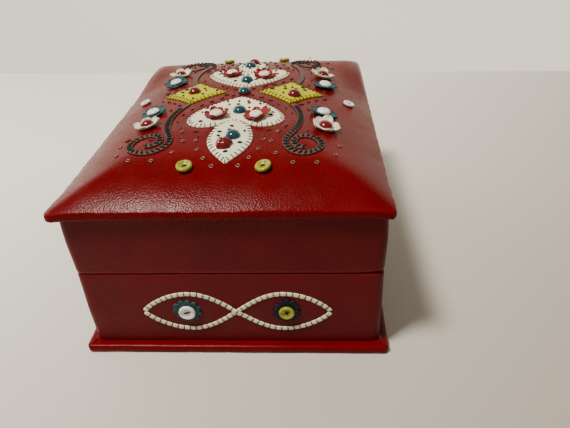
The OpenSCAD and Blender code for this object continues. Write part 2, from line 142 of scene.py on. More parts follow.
def rounded_box(a, b, r, step=3.0, corner=14):
    """Points round a box of half sides a and b with corners of radius r, counter-clockwise, and the
    outward normals there."""
    rows, outs = [], []
    for k, (sx, sy) in enumerate([(1, 1), (-1, 1), (-1, -1), (1, -1)]):
        t = math.radians(90 * k) + np.linspace(0, math.pi / 2, corner)
        out = np.stack([np.cos(t), np.sin(t)], 1)
        arc = np.array([sx * (a - r), sy * (b - r)]) + r * out
        length = 2 * (a - r) if k % 2 == 0 else 2 * (b - r)
        n = int(length / step)
        nxt = arc[-1] + np.outer(np.arange(1, n) / n, out[-1][::-1] * [-1, 1]) * length
        rows += [arc, nxt]
        outs += [out, np.repeat(out[-1:], n - 1, 0)]
    return np.concatenate(rows), np.concatenate(outs)


HEART_HALF = np.concatenate([
    cubic([[0, -7], [7, -9.5], [26, -26], [26.3, -38]]),
    cubic([[26.3, -38], [26.6, -49], [13, -52], [3, -42.6]]), [[0, -40.6]]])
TEARDROP_HALF = np.concatenate([
    cubic([[0, -39.2], [7, -40], [11.5, -50], [11.5, -58.5]]),
    cubic([[11.5, -58.5], [11.5, -67.5], [5, -74], [0, -79]]), [[0, -79]]])
REAR_SCALE = 0.82
HEARTS = {"front": (HEART_HALF + [0, 2.6], 1), "rear": (HEART_HALF * [1, -REAR_SCALE] + [0, 6.8], -1)}
DROPS = {"front": (TEARDROP_HALF, 1), "rear": (TEARDROP_HALF * [1, -0.95], -1)}
DIAMONDS = {"left": (-29.4, 6.2), "right": (28.6, 4.3)}
DIAMOND_RX, DIAMOND_RY = 19, 18
STRAP_START, STRAP_HEADING = [29.4, -14], -61.4
WIDE_START, WIDE_HEADING = [29.4, -12], -57.9
STRAP_ARCS = [[43.8, -58], [11, 93], [9.6, 143], [7.5, 135], [5, 130]]
SMALL_ARCS = [[43.8, -58], [10.4, 93], [8.2, 143], [6.8, 135], [4.6, 130]]
STRAP = arc_path(STRAP_START, STRAP_HEADING, STRAP_ARCS)
SMALL_STRAP = arc_path(STRAP_START, STRAP_HEADING, SMALL_ARCS)
WIDE_STRAP = arc_path(WIDE_START, WIDE_HEADING, STRAP_ARCS)
OUTER_TURNS = arc_path(STRAP_START, STRAP_HEADING, STRAP_ARCS[:3])
WIDE_TURNS = arc_path(WIDE_START, WIDE_HEADING, STRAP_ARCS[:3])
QUARTERS = [np.array([sx, sy]) for sx in (-1, 1) for sy in (-1, 1)]
TEAL_FLOWERS = [(-48.8, -20.2), (46.9, -24.9), (-46.5, 28.1), (48.7, 20.2)]
WHITE_FLOWERS = [(-47.4, -38.4), (47.6, -43.6), (-47, 44.3), (47.8, 38.4)]
HEART_FLOWERS = [(-10.3, -34.4), (11.3, -36.7), (-10.6, 33.3), (10.4, 29.7)]
LIME_BUTTONS = [(-18.8, -81), (18.2, -81.6), (-19.5, 80.2), (20.6, 80.2)]
WHITE_BUTTONS = [(-61.7, 6.5), (62.2, -0.2)]
BARE_TEAL_DOME = (0.5, 3.4)
TEAL_DOMES = [(1.4, -27.8), (1.5, -57.9), (0.1, 21.9), (-0.8, 53.2)]
RED_DOMES = [(-29.9, 4.8), (30.4, -2.7), (-2, -65.6), (0.8, 62.5)]
EYE_MID, EYE_L, EYE_H = (2.6, 26.6), 48.0, 11.9
TEAL_EYE_X, NAVY_EYE_X = -22.9, 28.3
LACE_W, LACE_PITCH = 2.6, 3.2
TIP_LIFT, TIP_END, TIP_RUN = 0.65, 52, 6
DROP_MIDDLE = 57.0
PLAN_STEP = 0.5
THREAD_SIDES = 6


def strap_line(q):
    """The middle line of the strap in one quarter of the lid: those on the right curl up a little tighter
    and the one at the front left stands further out."""
    return (SMALL_STRAP if q[0] > 0 else WIDE_STRAP if q[1] > 0 else STRAP) * q


def diamond_outline(word, waist=0.9, count=26):
    """Four slightly hollow sides between the diamond's points."""
    tips = np.array([[DIAMOND_RX, 0], [0, DIAMOND_RY], [-DIAMOND_RX, 0], [0, -DIAMOND_RY]], float)
    t = np.linspace(0, 1, count, endpoint=False)[:, None]
    rows = []
    for k in range(4):
        a, b = tips[k], tips[(k + 1) % 4]
        middle = -(a + b) / np.linalg.norm(a + b)
        rows.append(a + (b - a) * t + middle * waist * np.sin(math.pi * t))
    return np.concatenate(rows) + DIAMONDS[word]


def applied_outlines():
    """Closed outlines of everything flat that is sewn on the lid, apart from the straps."""
    halves = [half for half, _ in [*HEARTS.values(), *DROPS.values()]]
    return [closed(half) for half in halves] + [diamond_outline(word) for word in DIAMONDS]


# ---- the lid's surface, and the places that decoration is laid on ----
def ramp(t):
    """Zero to one with a smooth start and end."""
    t = np.clip(t, 0, 1)
    return t * t * (3 - 2 * t)


def crown(x, y):
    """Edge height plus the crown's rise, which falls off as one minus the mitre-softened power of x and y.
    Towards the rear corners the padding is packed fuller, so the sides fall off later there."""
    u, v = (np.abs(x) / LID_A) ** CROWN_PX, (np.abs(y) / LID_B) ** CROWN_PY
    side = np.clip(np.abs(x) / LID_A, 0, 1) ** np.where(x > 0, 50, 20)
    u = u * (1 - REAR_FULLNESS * ramp((y - 25) / 45) * ramp((np.abs(x) - 50) / 18) * (1 - side))
    return EDGE_Z + CROWN_H * (1 - (u ** MITRE + v ** MITRE) ** (1 / MITRE))


def seam_points():
    """Points along everything that is sewn down on the lid, in the case's own plan."""
    rows = [resample(q, 0.8, loop=True)[0] for q in applied_outlines()]
    rows += [resample(strap_line(q), 0.8)[0] for q in QUARTERS]
    return np.concatenate(rows) + [MOTIF_X, 0]


SEAMS = seam_points()


def nearest(x, y, points, chunk=4096):
    """Distance from each place to the nearest of the points."""
    flat = np.stack([np.ravel(x), np.ravel(y)], 1)
    rows = [np.sqrt(((flat[i:i + chunk, None] - points[None]) ** 2).sum(2).min(1))
            for i in range(0, len(flat), chunk)]
    return np.concatenate(rows).reshape(np.shape(x))


def skin(x, y):
    """Height of the lid's leather: the crown, a slow waviness and a soft dip along every sewn line."""
    wave = 0.10 * np.sin(x / 8.3 + y / 13) + 0.08 * np.sin(x / 14 - y / 9.1 + 1) + 0.06 * np.sin(y / 6.2 + 2)
    dip = SEAM_DIP * np.exp(-(nearest(x, y, SEAMS) / SEAM_REACH) ** 2)
    return crown(x, y) + wave - dip


def on_lid(x, y, h):
    """Places design points on the lid's leather, h above it along its normal."""
    x, y, h = np.broadcast_arrays(np.asarray(x, float) + MOTIF_X, y, h)
    dx = (crown(x + PLAN_STEP, y) - crown(x - PLAN_STEP, y)) / (2 * PLAN_STEP)
    dy = (crown(x, y + PLAN_STEP) - crown(x, y - PLAN_STEP)) / (2 * PLAN_STEP)
    n = np.stack([-dx, -dy, np.ones_like(dx)], -1)
    n /= np.linalg.norm(n, axis=-1, keepdims=True)
    return (np.stack([x, y, skin(x, y)], -1) + n * h[..., None]) * MM


def on_front(x, z, h):
    """Places points on the tray's front, h in front of it."""
    x, z, h = np.broadcast_arrays(np.asarray(x, float), z, h)
    return np.stack([x, -HALF_D - h, z], -1) * MM


def inside(points, outline):
    """Which points lie inside a closed outline, by counting the sides that a ray crosses."""
    a, b = outline[None], np.roll(outline, -1, 0)[None]
    x, y = points[:, :1], points[:, 1:]
    spans = (a[..., 1] > y) != (b[..., 1] > y)
    rise = np.where(b[..., 1] == a[..., 1], 1e-9, b[..., 1] - a[..., 1])
    return (spans & (x < a[..., 0] + (b[..., 0] - a[..., 0]) * (y - a[..., 1]) / rise)).sum(1) % 2 == 1


# ---- turning arrays of points into pieces ----
def placed(name, data):
    """A new object in the scene."""
    obj = bpy.data.objects.new(name, data)
    bpy.context.scene.collection.objects.link(obj)
    return obj


class Shape:
    """Gathers grids of points, closes them and makes one mesh of them."""

    def __init__(self):
        self.points, self.faces, self.marks, self.count = [], [], [], 0

    def grid(self, p, loop=False, mark=0.0):
        """Quads over p[..., row, column, 3], whose columns join up. Rows join up if loop; else caps close
        the first and last."""
        p = np.asarray(p, float)
        p = p.reshape((-1,) + p.shape[-3:])
        k, m, n = p.shape[:3]
        i = np.arange(m if loop else m - 1)[:, None]
        j = np.arange(n)[None]
        i2, j2 = (i + 1) % m, (j + 1) % n
        quad = np.stack([i * n + j, i * n + j2, i2 * n + j2, i2 * n + j], -1).reshape(-1, 4)
        start = self.count + np.arange(k)[:, None, None] * m * n
        self.faces += (quad[None] + start).reshape(-1, 4).tolist()
        self._keep(p.reshape(-1, 3), np.broadcast_to(mark, p.shape[:3]).ravel())
        if not loop:
            for row in (0, m - 1):
                base = self.count
                self._keep(p[:, row].mean(1), np.zeros(k))
                ring = np.arange(n)
                a = start.reshape(-1, 1) + row * n + ring
                b = start.reshape(-1, 1) + row * n + (ring + 1) % n
                hub = base + np.arange(k)[:, None] + 0 * ring
                tri = np.stack([b, a, hub] if row == 0 else [a, b, hub], -1)
                self.faces += tri.reshape(-1, 3).tolist()
        return self

    def _keep(self, points, marks):
        self.points.append(points)
        self.marks.append(marks)
        self.count += len(points)

    def piece(self, name, body, slot, nodes=(), look=None):
        """Makes the mesh object, turns its faces outwards, and seats it on its body and in its slot. It has
        the slot's own material unless another look is given."""
        mesh = bpy.data.meshes.new(name)
        mesh.from_pydata(np.concatenate(self.points).tolist(), [], self.faces)
        mark = mesh.attributes.new("mark", "FLOAT", "POINT")
        mark.data.foreach_set("value", np.concatenate(self.marks).astype(np.float32))
        whole = bmesh.new()
        whole.from_mesh(mesh)
        bmesh.ops.recalc_face_normals(whole, faces=whole.faces)
        whole.to_mesh(mesh)
        whole.free()
        mesh.polygons.foreach_set("use_smooth", [True] * len(mesh.polygons))
        mesh.materials.append(look or finish(slot))
        obj = placed(name, mesh)
        if body:
            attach(obj, body)
        if nodes:
            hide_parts(*nodes)
        return obj


def lathe(profile, count):
    """A profile of radius and height turned round the upright axis: rows of [x, y, height]."""
    profile = np.array(profile, float)
    t = np.linspace(0, 2 * math.pi, count, endpoint=False)
    r, h = profile[:, :1], profile[:, 1:]
    return np.stack([r * np.cos(t), r * np.sin(t), h + 0 * t], -1)


def put(local, at, place, tilt=(0, 0), turn=0.0):
    """Local [x, y, height] points, turned in plan, leaned by tilt and placed round a spot."""
    c, s = math.cos(turn), math.sin(turn)
    x = local[..., 0] * c - local[..., 1] * s
    y = local[..., 0] * s + local[..., 1] * c
    return place(at[0] + x, at[1] + y, local[..., 2] + tilt[0] * x + tilt[1] * y)


def leaf_height(inset, r=0.55):
    """Height of an applied shape at a distance in from its edge: a quarter round, then a slight crown."""
    q = np.clip(inset / r, 0, 1)
    swell = 0.25 * (1 - np.exp(-np.clip(inset, 0, None) / 5))
    return LEAF_T * np.sqrt(np.clip(1 - (1 - q) ** 2, 0, 1)) + swell


def drop_lift(y):
    """How far a teardrop is raised at y: its tip laps over the heart and comes down past the heart's end."""
    return TIP_LIFT * ramp((TIP_END - np.abs(y)) / TIP_RUN)


def patch(shape, outline, centre, place, height=leaf_height, rings=12, under=-0.1):
    """A flat shape that every ray from its centre leaves once: rings drawn in from the outline, rounded
    at the edge by height, with a plain underside."""
    ray = outline - centre
    reach = np.linalg.norm(ray, axis=1)
    near = np.array([0, 0.05, 0.16, 0.34, 0.6, 1.0, 1.6, 2.6])
    inward = np.linspace(0.9, 0.04, rings)[:, None]
    scale = np.concatenate([1 - near[:, None] / reach, (1 - near[-1] / reach) * inward])
    flat = centre + ray[None] * scale[..., None]
    inset = (1 - scale) * reach
    top = place(flat[..., 0], flat[..., 1], height(inset))
    skirt = place(outline[:, 0], outline[:, 1], under)
    middle = centre + ray * 0.04
    sole = place(middle[:, 0], middle[:, 1], under)
    return shape.grid(np.concatenate([top[::-1], skirt[None], sole[None]]))


def arched(low, rise, power=1.0):
    """Height of a thread's middle line: a low arch, half a sine raised to a power, between its ends."""
    return lambda share, line: low + rise * np.sin(math.pi * share)[None] ** power + 0 * line[..., 0]


def threads(shape, a, b, place, height, radius, rows=6):
    """Round threads from points a to points b in plan, whose middle line follows height(share, point)."""
    share = np.linspace(0, 1, rows)
    line = a[:, None] + (b - a)[:, None] * share[:, None]
    along = (b - a) / np.linalg.norm(b - a, axis=1)[:, None]
    across = normal_of(along)[:, None, None]
    t = np.linspace(0, 2 * math.pi, THREAD_SIDES, endpoint=False)
    swell = radius * (0.45 + 0.55 * np.sin(math.pi * share) ** 0.5)[:, None]
    flat = line[:, :, None] + across * (swell * np.cos(t))[None, ..., None]
    rise = height(share, line)[..., None] + (swell * np.sin(t))[None]
    return shape.grid(place(flat[..., 0], flat[..., 1], rise))


def ribbon(path, place, width, height, bump):
    """A strip of rounded section along a path; width, height and the bump under it are arrays per point."""
    centre, tangent = path
    t = np.linspace(0, 2 * math.pi, 12, endpoint=False)
    cx = np.sign(np.cos(t)) * np.abs(np.cos(t)) ** 0.6
    cz = np.sign(np.sin(t)) * np.abs(np.sin(t)) ** 0.8
    flat = centre[:, None] + normal_of(tangent)[:, None] * (width[:, None] / 2 * cx)[..., None]
    rise = bump[:, None] + height[:, None] * (0.5 + 0.5 * cz) - 0.05
    return Shape().grid(place(flat[..., 0], flat[..., 1], rise))


# ---- finishes ----
class Finish:
    """Builds one node material; values that are sockets are linked, others are set on the node. An input
    is named by its label, or by i and its number."""

    made = {}

    def __init__(self, name, **shader):
        self.material = bpy.data.materials.new(name)
        self.material.use_nodes = True
        self.tree = self.material.node_tree
        self.shader = self.tree.nodes["Principled BSDF"]
        self.place = self.tree.nodes.new("ShaderNodeTexCoord").outputs["Object"]
        self.set(self.shader, **shader)

    def set(self, node, **values):
        for key, value in values.items():
            numbered = key[0] == "i" and key[1:].isdigit()
            socket = node.inputs[int(key[1:]) if numbered else key.replace("_", " ")]
            if isinstance(value, bpy.types.NodeSocket):
                self.tree.links.new(value, socket)
            else:
                socket.default_value = value
        return node

    def add(self, kind, options=None, **values):
        node = self.tree.nodes.new("ShaderNode" + kind)
        for key, value in (options or {}).items():
            setattr(node, key, value)
        return self.set(node, **values)

    def noise(self, scale, detail=3.0, rough=0.55):
        return self.add("TexNoise", Vector=self.place, Scale=scale, Detail=detail,
                        Roughness=rough).outputs["Fac"]

    def cells(self, scale, smooth, place=None):
        return self.add("TexVoronoi", {"feature": "SMOOTH_F1"}, Vector=place or self.place, Scale=scale,
                        Smoothness=smooth).outputs["Distance"]

    def math(self, kind, a, b=0.0):
        return self.add("Math", {"operation": kind}, i0=a, i1=b).outputs[0]

    def span(self, value, low, high, to_low=0.0, to_high=1.0):
        return self.add("MapRange", Value=value, From_Min=low, From_Max=high, To_Min=to_low,
                        To_Max=to_high).outputs[0]

    def blend(self, share, a, b):
        return self.add("Mix", {"data_type": "RGBA"}, i0=share, i6=a, i7=b).outputs[2]

    def bump(self, height, depth):
        return self.add("Bump", Height=height, Distance=depth * MM, Strength=1.0).outputs["Normal"]

    def mark(self):
        return self.add("Attribute", {"attribute_name": "mark"}).outputs["Fac"]


def shade(colour, gain):
    """A colour made darker or lighter by a factor."""
    return tuple(min(1.0, c * gain) for c in colour[:3]) + (1.0,)


def leather(name, colour, pebble=0.95, depth=0.045, rough=0.22, painted_crease_shade=0.55, worn=1.25):
    """Pebbled leather: rounded cells with painted shade in the creases between them, fine pores, cloudy dye,
    and marked rims painted lighter, partly as wear and partly as painted highlight.
    """
    f = Finish(name, Specular_IOR_Level=0.065)
    stir = f.add("TexNoise", Vector=f.place, Scale=380.0, Detail=2.0).outputs["Color"]
    stirred = f.add("Mix", {"data_type": "VECTOR"}, i0=0.0009, i4=f.place, i5=stir).outputs[1]
    cells = f.cells(1000 / pebble, 0.3, stirred)
    grain = f.span(cells, 0.15, 0.75)
    pores = f.noise(4200.0, 2.0)
    slow = f.noise(210.0, 3.0)
    height = f.math("ADD", f.math("MULTIPLY", grain, -1.0), f.math("MULTIPLY", pores, 0.18))
    height = f.math("ADD", height, f.math("MULTIPLY", slow, 0.9))
    cloud = f.span(f.noise(38.0, 4.0), 0.3, 0.7)
    base = f.blend(cloud, shade(colour, 0.86), shade(colour, 1.12))
    # Painted shade: darker along the creases between the pebbles, where the bump sinks.
    base = f.blend(f.span(cells, 0.5, 0.8, 0.0, painted_crease_shade), base, shade(colour, 0.45))
    # Marked rims turn lighter: partly wear, partly a painted highlight along the rolled edges.
    base = f.blend(f.math("MULTIPLY", f.mark(), 0.75), base, shade(colour, worn))
    roughness = f.span(f.math("ADD", f.noise(90.0, 3.0), f.math("MULTIPLY", grain, 0.3)), 0.3, 1.0,
                       rough - 0.08, rough + 0.14)
    f.set(f.shader, Base_Color=base, Roughness=roughness, Normal=f.bump(height, depth))
    return f.material


def smooth_leather(name, colour, rough=0.5, coat=0.0, depth=0.05, worn=1.6):
    """Fine even leather: tiny pores, faint cloudy dye, slow unevenness, and marked rims painted lighter,
    partly as wear and partly as painted highlight.
    """
    f = Finish(name, Coat_Weight=coat, Coat_Roughness=0.3, Specular_IOR_Level=0.15)
    cells = f.cells(1500.0, 0.4)
    height = f.math("ADD", f.math("MULTIPLY", cells, -0.7), f.math("MULTIPLY", f.noise(160.0, 3.0), 1.6))
    cloud = f.span(f.noise(46.0, 5.0), 0.28, 0.72)
    base = f.blend(cloud, shade(colour, 0.85), shade(colour, 1.14))
    base = f.blend(f.span(f.noise(1300.0, 2.0), 0.42, 0.7, 0.0, 0.22), base, shade(colour, 0.55))
    # Marked rims turn lighter: partly wear, partly a painted highlight along the rolled edges.
    base = f.blend(f.math("MULTIPLY", f.mark(), 0.7), base, shade(colour, worn))
    f.set(f.shader, Base_Color=base, Normal=f.bump(height, depth),
          Roughness=f.span(f.noise(120.0, 3.0), 0.3, 0.7, rough - 0.06, rough + 0.08))
    return f.material


def suede(name, colour):
    """Napped leather: short fibres that lie in slow swirls, with a velvet sheen."""
    f = Finish(name, Sheen_Weight=0.55, Sheen_Roughness=0.45, Specular_IOR_Level=0.15)
    nap = f.noise(1500.0, 4.0, 0.7)
    swirl = f.span(f.noise(28.0, 4.0), 0.3, 0.7)
    base = f.blend(swirl, shade(colour, 0.78), shade(colour, 1.18))
    base = f.blend(f.span(nap, 0.3, 0.7, 0.0, 0.5), base, shade(colour, 0.6))
    f.set(f.shader, Base_Color=base, Roughness=f.span(swirl, 0, 1, 0.88, 0.98),
          Normal=f.bump(f.math("ADD", nap, f.noise(400.0, 2.0)), 0.14))
    return f.material


def gloss(name, colour, rough=0.09):
    """Glazed bead: clear coat over colour with faint clouding and a few dull specks."""
    f = Finish(name, Coat_Weight=0.35, Coat_Roughness=0.06, Specular_IOR_Level=0.4)
    cloud = f.span(f.noise(330.0, 3.0), 0.3, 0.7)
    f.set(f.shader, Base_Color=f.blend(cloud, shade(colour, 0.75), shade(colour, 1.2)),
          Roughness=f.span(f.noise(900.0, 2.0), 0.4, 0.75, rough, rough + 0.16),
          Normal=f.bump(f.noise(600.0, 2.0), 0.02))
    return f.material


def thread_finish(name, colour):
    """Waxed thread: fine twisted strands."""
    f = Finish(name, Sheen_Weight=0.05, Specular_IOR_Level=0.2)
    strands = f.add("TexWave", {"wave_type": "BANDS", "bands_direction": "DIAGONAL"}, Vector=f.place,
                    Scale=620.0, Distortion=2.0, Detail=1.0).outputs["Fac"]
    f.set(f.shader, Base_Color=f.blend(strands, shade(colour, 0.7), shade(colour, 1.5)),
          Roughness=f.span(strands, 0, 1, 0.75, 0.5), Normal=f.bump(strands, 0.05))
    return f.material


def card(name, colour):
    """Grey-brown box board: pressed fibres and flecks."""
    f = Finish(name, Specular_IOR_Level=0.2)
    fibre = f.noise(900.0, 4.0, 0.7)
    fleck = f.span(f.noise(260.0, 2.0), 0.6, 0.72)
    base = f.blend(f.span(fibre, 0.3, 0.7), shade(colour, 0.85), shade(colour, 1.12))
    f.set(f.shader, Base_Color=f.blend(fleck, base, shade(colour, 0.5)),
          Roughness=f.span(fibre, 0, 1, 0.8, 0.95), Normal=f.bump(fibre, 0.06))
    return f.material


def foam(name, colour):
    """Open foam: small dark cells in a pale body."""
    f = Finish(name, Specular_IOR_Level=0.15)
    cells = f.cells(900.0, 0.1)
    f.set(f.shader, Base_Color=f.blend(f.span(cells, 0.1, 0.5), shade(colour, 0.5), shade(colour, 1.05)),
          Roughness=f.span(cells, 0, 1, 0.98, 0.85), Normal=f.bump(cells, 0.25))
    return f.material


def metal(name, colour):
    """Dull plated metal with fine scuffs."""
    f = Finish(name, Metallic=0.85)
    scuff = f.noise(2400.0, 3.0)
    f.set(f.shader, Base_Color=f.blend(f.span(scuff, 0.3, 0.7), shade(colour, 0.8), shade(colour, 1.1)),
          Roughness=f.span(scuff, 0.3, 0.7, 0.3, 0.5), Normal=f.bump(scuff, 0.02))
    return f.material


MAKERS = {
    "glossy_red_leather": leather,
    "wine_leather": lambda n, c: smooth_leather(n, c, rough=0.46, depth=0.07),
    "suede_lining": suede, "box_board": card, "foam_padding": foam,
    "ivory_leather": lambda n, c: smooth_leather(n, c, rough=0.6),
    "lime_leather": lambda n, c: smooth_leather(n, c, rough=0.58),
    "teal_leather": lambda n, c: smooth_leather(n, c, rough=0.5, coat=0.1),
    "navy_leather": lambda n, c: smooth_leather(n, c, rough=0.5, coat=0.1),
    "scarlet_leather": lambda n, c: smooth_leather(n, c, rough=0.45, coat=0.15),
    "charcoal_leather": lambda n, c: smooth_leather(n, c, rough=0.55),
    "dark_thread": thread_finish, "teal_gloss": gloss, "scarlet_gloss": gloss,
    "ivory_gloss": lambda n, c: gloss(n, c, 0.2), "lime_gloss": lambda n, c: gloss(n, c, 0.25),
    "ring_metal": metal,
}


def finish(name):
    """The material of a slot, made once with its colour from the settings."""
    if name not in Finish.made:
        Finish.made[name] = MAKERS[name](name, tuple(getattr(bpy.context.scene.case_colours, name)))
    return Finish.made[name]


def tinted(name, colour):
    """A thread in a colour of its own, made once."""
    if name not in Finish.made:
        Finish.made[name] = thread_finish(name, colour)
    return Finish.made[name]


def colour_setting(label, description, value):
    """A setting that holds a colour."""
    return bpy.props.FloatVectorProperty(name=label, description=description, subtype="COLOR", size=4,
                                         min=0, max=1, default=value + (1.0,))


class CaseColours(bpy.types.PropertyGroup):
    """Dye and paint colours of the case."""

    glossy_red_leather: colour_setting("Lid leather", "Glossy, lid and plinth", (0.112, 0.0010, 0.0022))
    wine_leather: colour_setting("Wall leather", "Satin leather of the walls", (0.098, 0.0008, 0.0030))
    suede_lining: colour_setting("Lining", "Suede inside the case", (0.13, 0.065, 0.04))
    box_board: colour_setting("Board", "Box board under the leather", (0.30, 0.22, 0.13))
    foam_padding: colour_setting("Padding", "Foam under the lid's leather", (0.62, 0.54, 0.36))
    ivory_leather: colour_setting("Ivory leather", "Hearts, teardrops, laces, petals", (0.74, 0.70, 0.50))
    lime_leather: colour_setting("Lime leather", "Diamonds", (0.42, 0.40, 0.006))
    teal_leather: colour_setting("Teal leather", "Teal flowers", (0.012, 0.052, 0.062))
    navy_leather: colour_setting("Navy leather", "Dark flower on the front", (0.005, 0.006, 0.014))
    scarlet_leather: colour_setting("Scarlet leather", "Flowers on the hearts", (0.20, 0.006, 0.010))
    charcoal_leather: colour_setting("Charcoal leather", "Scroll straps", (0.088, 0.054, 0.044))
    dark_thread: colour_setting("Thread", "Waxed sewing thread", (0.009, 0.007, 0.006))
    teal_gloss: colour_setting("Teal glaze", "Teal domes", (0.004, 0.045, 0.060))
    scarlet_gloss: colour_setting("Red glaze", "Red domes", (0.12, 0.0015, 0.004))
    ivory_gloss: colour_setting("White glaze", "White domes and buttons", (0.74, 0.72, 0.66))
    lime_gloss: colour_setting("Lime glaze", "Lime buttons", (0.28, 0.28, 0.008))
    ring_metal: colour_setting("Ring metal", "Small pierced rings", (0.26, 0.12, 0.10))


def length_setting(label, description, value):
    """A setting that holds a length, given in millimetres."""
    return bpy.props.FloatProperty(name=label, description=description, default=value * MM, min=0,
                                   unit="LENGTH", precision=5)


class CaseSizes(bpy.types.PropertyGroup):
    """Sizes of the decoration that a maker might change."""

    stitch_pitch: length_setting("Stitch spacing", "Between blanket stitches", 2.75)
    stitch_length: length_setting("Stitch length", "How far a blanket stitch reaches in from the edge", 2.6)
    strap_width: length_setting("Strap width", "Width of the scroll straps", 3.4)
    dome_width: length_setting("Dome width", "Diameter of the glossy domes", 7.6)
    button_width: length_setting("Button width", "Diameter of the lime buttons on the lid", 7.8)
    flower_width: length_setting("Flower width", "Diameter of the raised flowers", 15.0)
    lens: bpy.props.FloatProperty(name="Lens", description="Focal length of the camera", default=31.92,
                                  min=1, unit="CAMERA")


def size(name):
    """A length setting in millimetres."""
    return getattr(bpy.context.scene.case_sizes, name) / MM


# ---- pieces ----
class Build(bpy.types.Operator):
    """Shared behaviour of the operators that make pieces."""

    bl_options = {"REGISTER", "UNDO"}

    def execute(self, context):
        self.build()
        return {"FINISHED"}


def around(outline, out, profile):
    """A profile of [inset, z] rows carried round an outline, drawn in along its outward normals."""
    inset, z = profile[:, 0][:, None, None], profile[:, 1][:, None]
    flat = outline[None] - out[None] * inset
    return flat, z + 0 * flat[..., 0]


def raised(flat, z):
    """Plan points joined with their heights, as [x, y, z]."""
    return np.concatenate([flat, z[..., None]], -1)


class CASE_OT_lid_cover(Build):
    """Domed leather over the lid's padding, rolled over the board's edge and turned in below."""

    bl_idname = "case.lid_cover"
    bl_label = "Lid cover"

    def build(self):
        outline, out = rounded_box(LID_A, LID_B, 3.0, step=1.5, corner=16)
        rho = np.concatenate([np.linspace(0.02, 0.9, 62), np.linspace(0.905, 0.992, 22)])
        flat = outline[None] * rho[:, None, None]
        z = skin(flat[..., 0], flat[..., 1])
        from_side, from_end = LID_A - np.abs(outline[:, 0]), LID_B - np.abs(outline[:, 1])
        corner = np.exp(-(from_side ** 2 + from_end ** 2) / 60)
        edge = crown(outline[:, 0] * 0.997, outline[:, 1] * 0.997)
        low = BOARD_Z - 0.5 * corner
        walk = np.arange(len(outline))
        pucker = 0.10 * np.sin(walk * 0.9) + 0.06 * np.sin(walk * 0.37 + 1)
        rolls = [(0.22, edge - 0.05), (0.05, edge - 0.55), (0.0, edge - 1.2), (0.0, (edge + low) / 2),
                 (0.04, low + 1.0), (0.22, low + 0.4), (0.65, low + 0.08), (1.4, low), (4.0, BOARD_Z)]
        rows = [(i + pucker * (1 if 0.1 < i < 1 else 0.6), h) for i, h in rolls]
        rows += [(16.0, BOARD_Z), (16.5, BOARD_Z + 0.5), (16.0, BOARD_Z + SKIN), (1.6, BOARD_Z + SKIN),
                 (1.1, edge - 1.6)]
        rows = [np.broadcast_arrays(i, h, low)[:2] for i, h in rows]
        side = np.stack([raised(outline - out * i[:, None], h) for i, h in rows])
        inner = outline[None] * np.linspace(0.975, 0.03, 16)[:, None, None]
        under = crown(inner[..., 0], inner[..., 1]) - SKIN
        p = np.concatenate([raised(flat, z), side, raised(inner, under)])
        near = np.exp(-((LID_B + p[..., 1]) ** 2) / 150 - ((LID_A - np.abs(p[..., 0])) ** 2) / 60)
        p[..., 0] += near * np.where(p[..., 0] > 0, FLARE_RIGHT, -FLARE_LEFT)
        p[..., 1] -= near * 0.5
        mark = np.zeros(p.shape[:2])
        brim = len(rho)
        # Painted highlight, with some wear: the band just above the roll and the roll's lower rim are marked
        # to be painted lighter.
        mark[brim - 3:brim + 2] = 0.5
        mark[brim + 4:brim + 7] = 0.8
        cover = Shape().grid(p * MM, mark=mark).piece(
            "lid_leather_cover", "lid", "glossy_red_leather", ["lid_top_leather"])


def wall_profile(low, high, open_end):
    """Section of leather glued over a wall: outer face, rolled edge at the opening, turned-in strip."""
    s = 1 if open_end == high else -1
    far = low if s == 1 else high
    rows = [(1.0, far), (0.35, far), (0.06, far + s * 0.5), (0.0, far + s * 1.4)]
    rows += [(0.0, far + s * t) for t in np.linspace(3, abs(high - low) - 2.4, 14)]
    rows += [(0.04, open_end - s * 1.3), (0.2, open_end - s * 0.55), (0.6, open_end - s * 0.12),
             (1.3, open_end), (2.0, open_end), (3.0, open_end - s * 0.02), (3.6, open_end - s * 0.2),
             (WALL_T, open_end - s * 0.7), (WALL_T, open_end - s * SKIN), (1.0, open_end - s * SKIN)]
    return np.array(rows)


WALL_OUTER_ROWS, WALL_ROLLED_ROWS, WALL_FAR_ROWS = 21, slice(18, 23), slice(2, 4)


class CASE_OT_walls(Build):
    """Satin leather round the tray's walls and the lid's skirt."""

    bl_idname = "case.walls"
    bl_label = "Wall leather"

    def wall(self, name, body, node, low, high, open_end, bow, worn, curl):
        outline, out = rounded_box(HALF_W, HALF_D, 4.0, step=2.5, corner=14)
        flat, z = around(outline, out, wall_profile(low, high, open_end))
        rise = (z - low) / (high - low)
        outer = np.arange(len(flat))[:, None] < WALL_OUTER_ROWS
        x, y = flat[..., 0], flat[..., 1]
        wave = (0.12 * np.sin(x / 11 + z / 9) + 0.10 * np.sin(y / 13 - z / 7 + 1)
                + 0.05 * np.sin((x + y) / 4.7))
        push = outer * (wave + bow) * np.sin(math.pi * np.clip(rise, 0, 1))
        flat = flat + out[None] * push[..., None]
        z = z + curl * np.exp(-((x - HALF_W) ** 2 + (y + HALF_D) ** 2) / 70) * np.clip(1 - rise * 3, 0, 1)
        mark = np.zeros(flat.shape[:2])
        # Painted highlight, with some wear: the rolled edge at the opening, and more faintly the far edge,
        # are marked to be painted lighter.
        mark[WALL_ROLLED_ROWS] = worn
        mark[WALL_FAR_ROWS] = 0.25
        Shape().grid(raised(flat, z) * MM, loop=True, mark=mark).piece(name, body, "wine_leather", [node])

    def build(self):
        tray, skirt = (TRAY_LOW[2], TRAY_HIGH[2], TRAY_HIGH[2]), (SKIRT_LOW[2], SKIRT_HIGH[2], SKIRT_LOW[2])
        self.wall("tray_wall_cover", "base", "base_wall_leather", *tray, bow=0.15, worn=0.2, curl=0.0)
        self.wall("lid_skirt_cover", "lid", "lid_wall_leather", *skirt, bow=0.3, worn=1.0, curl=1.1)


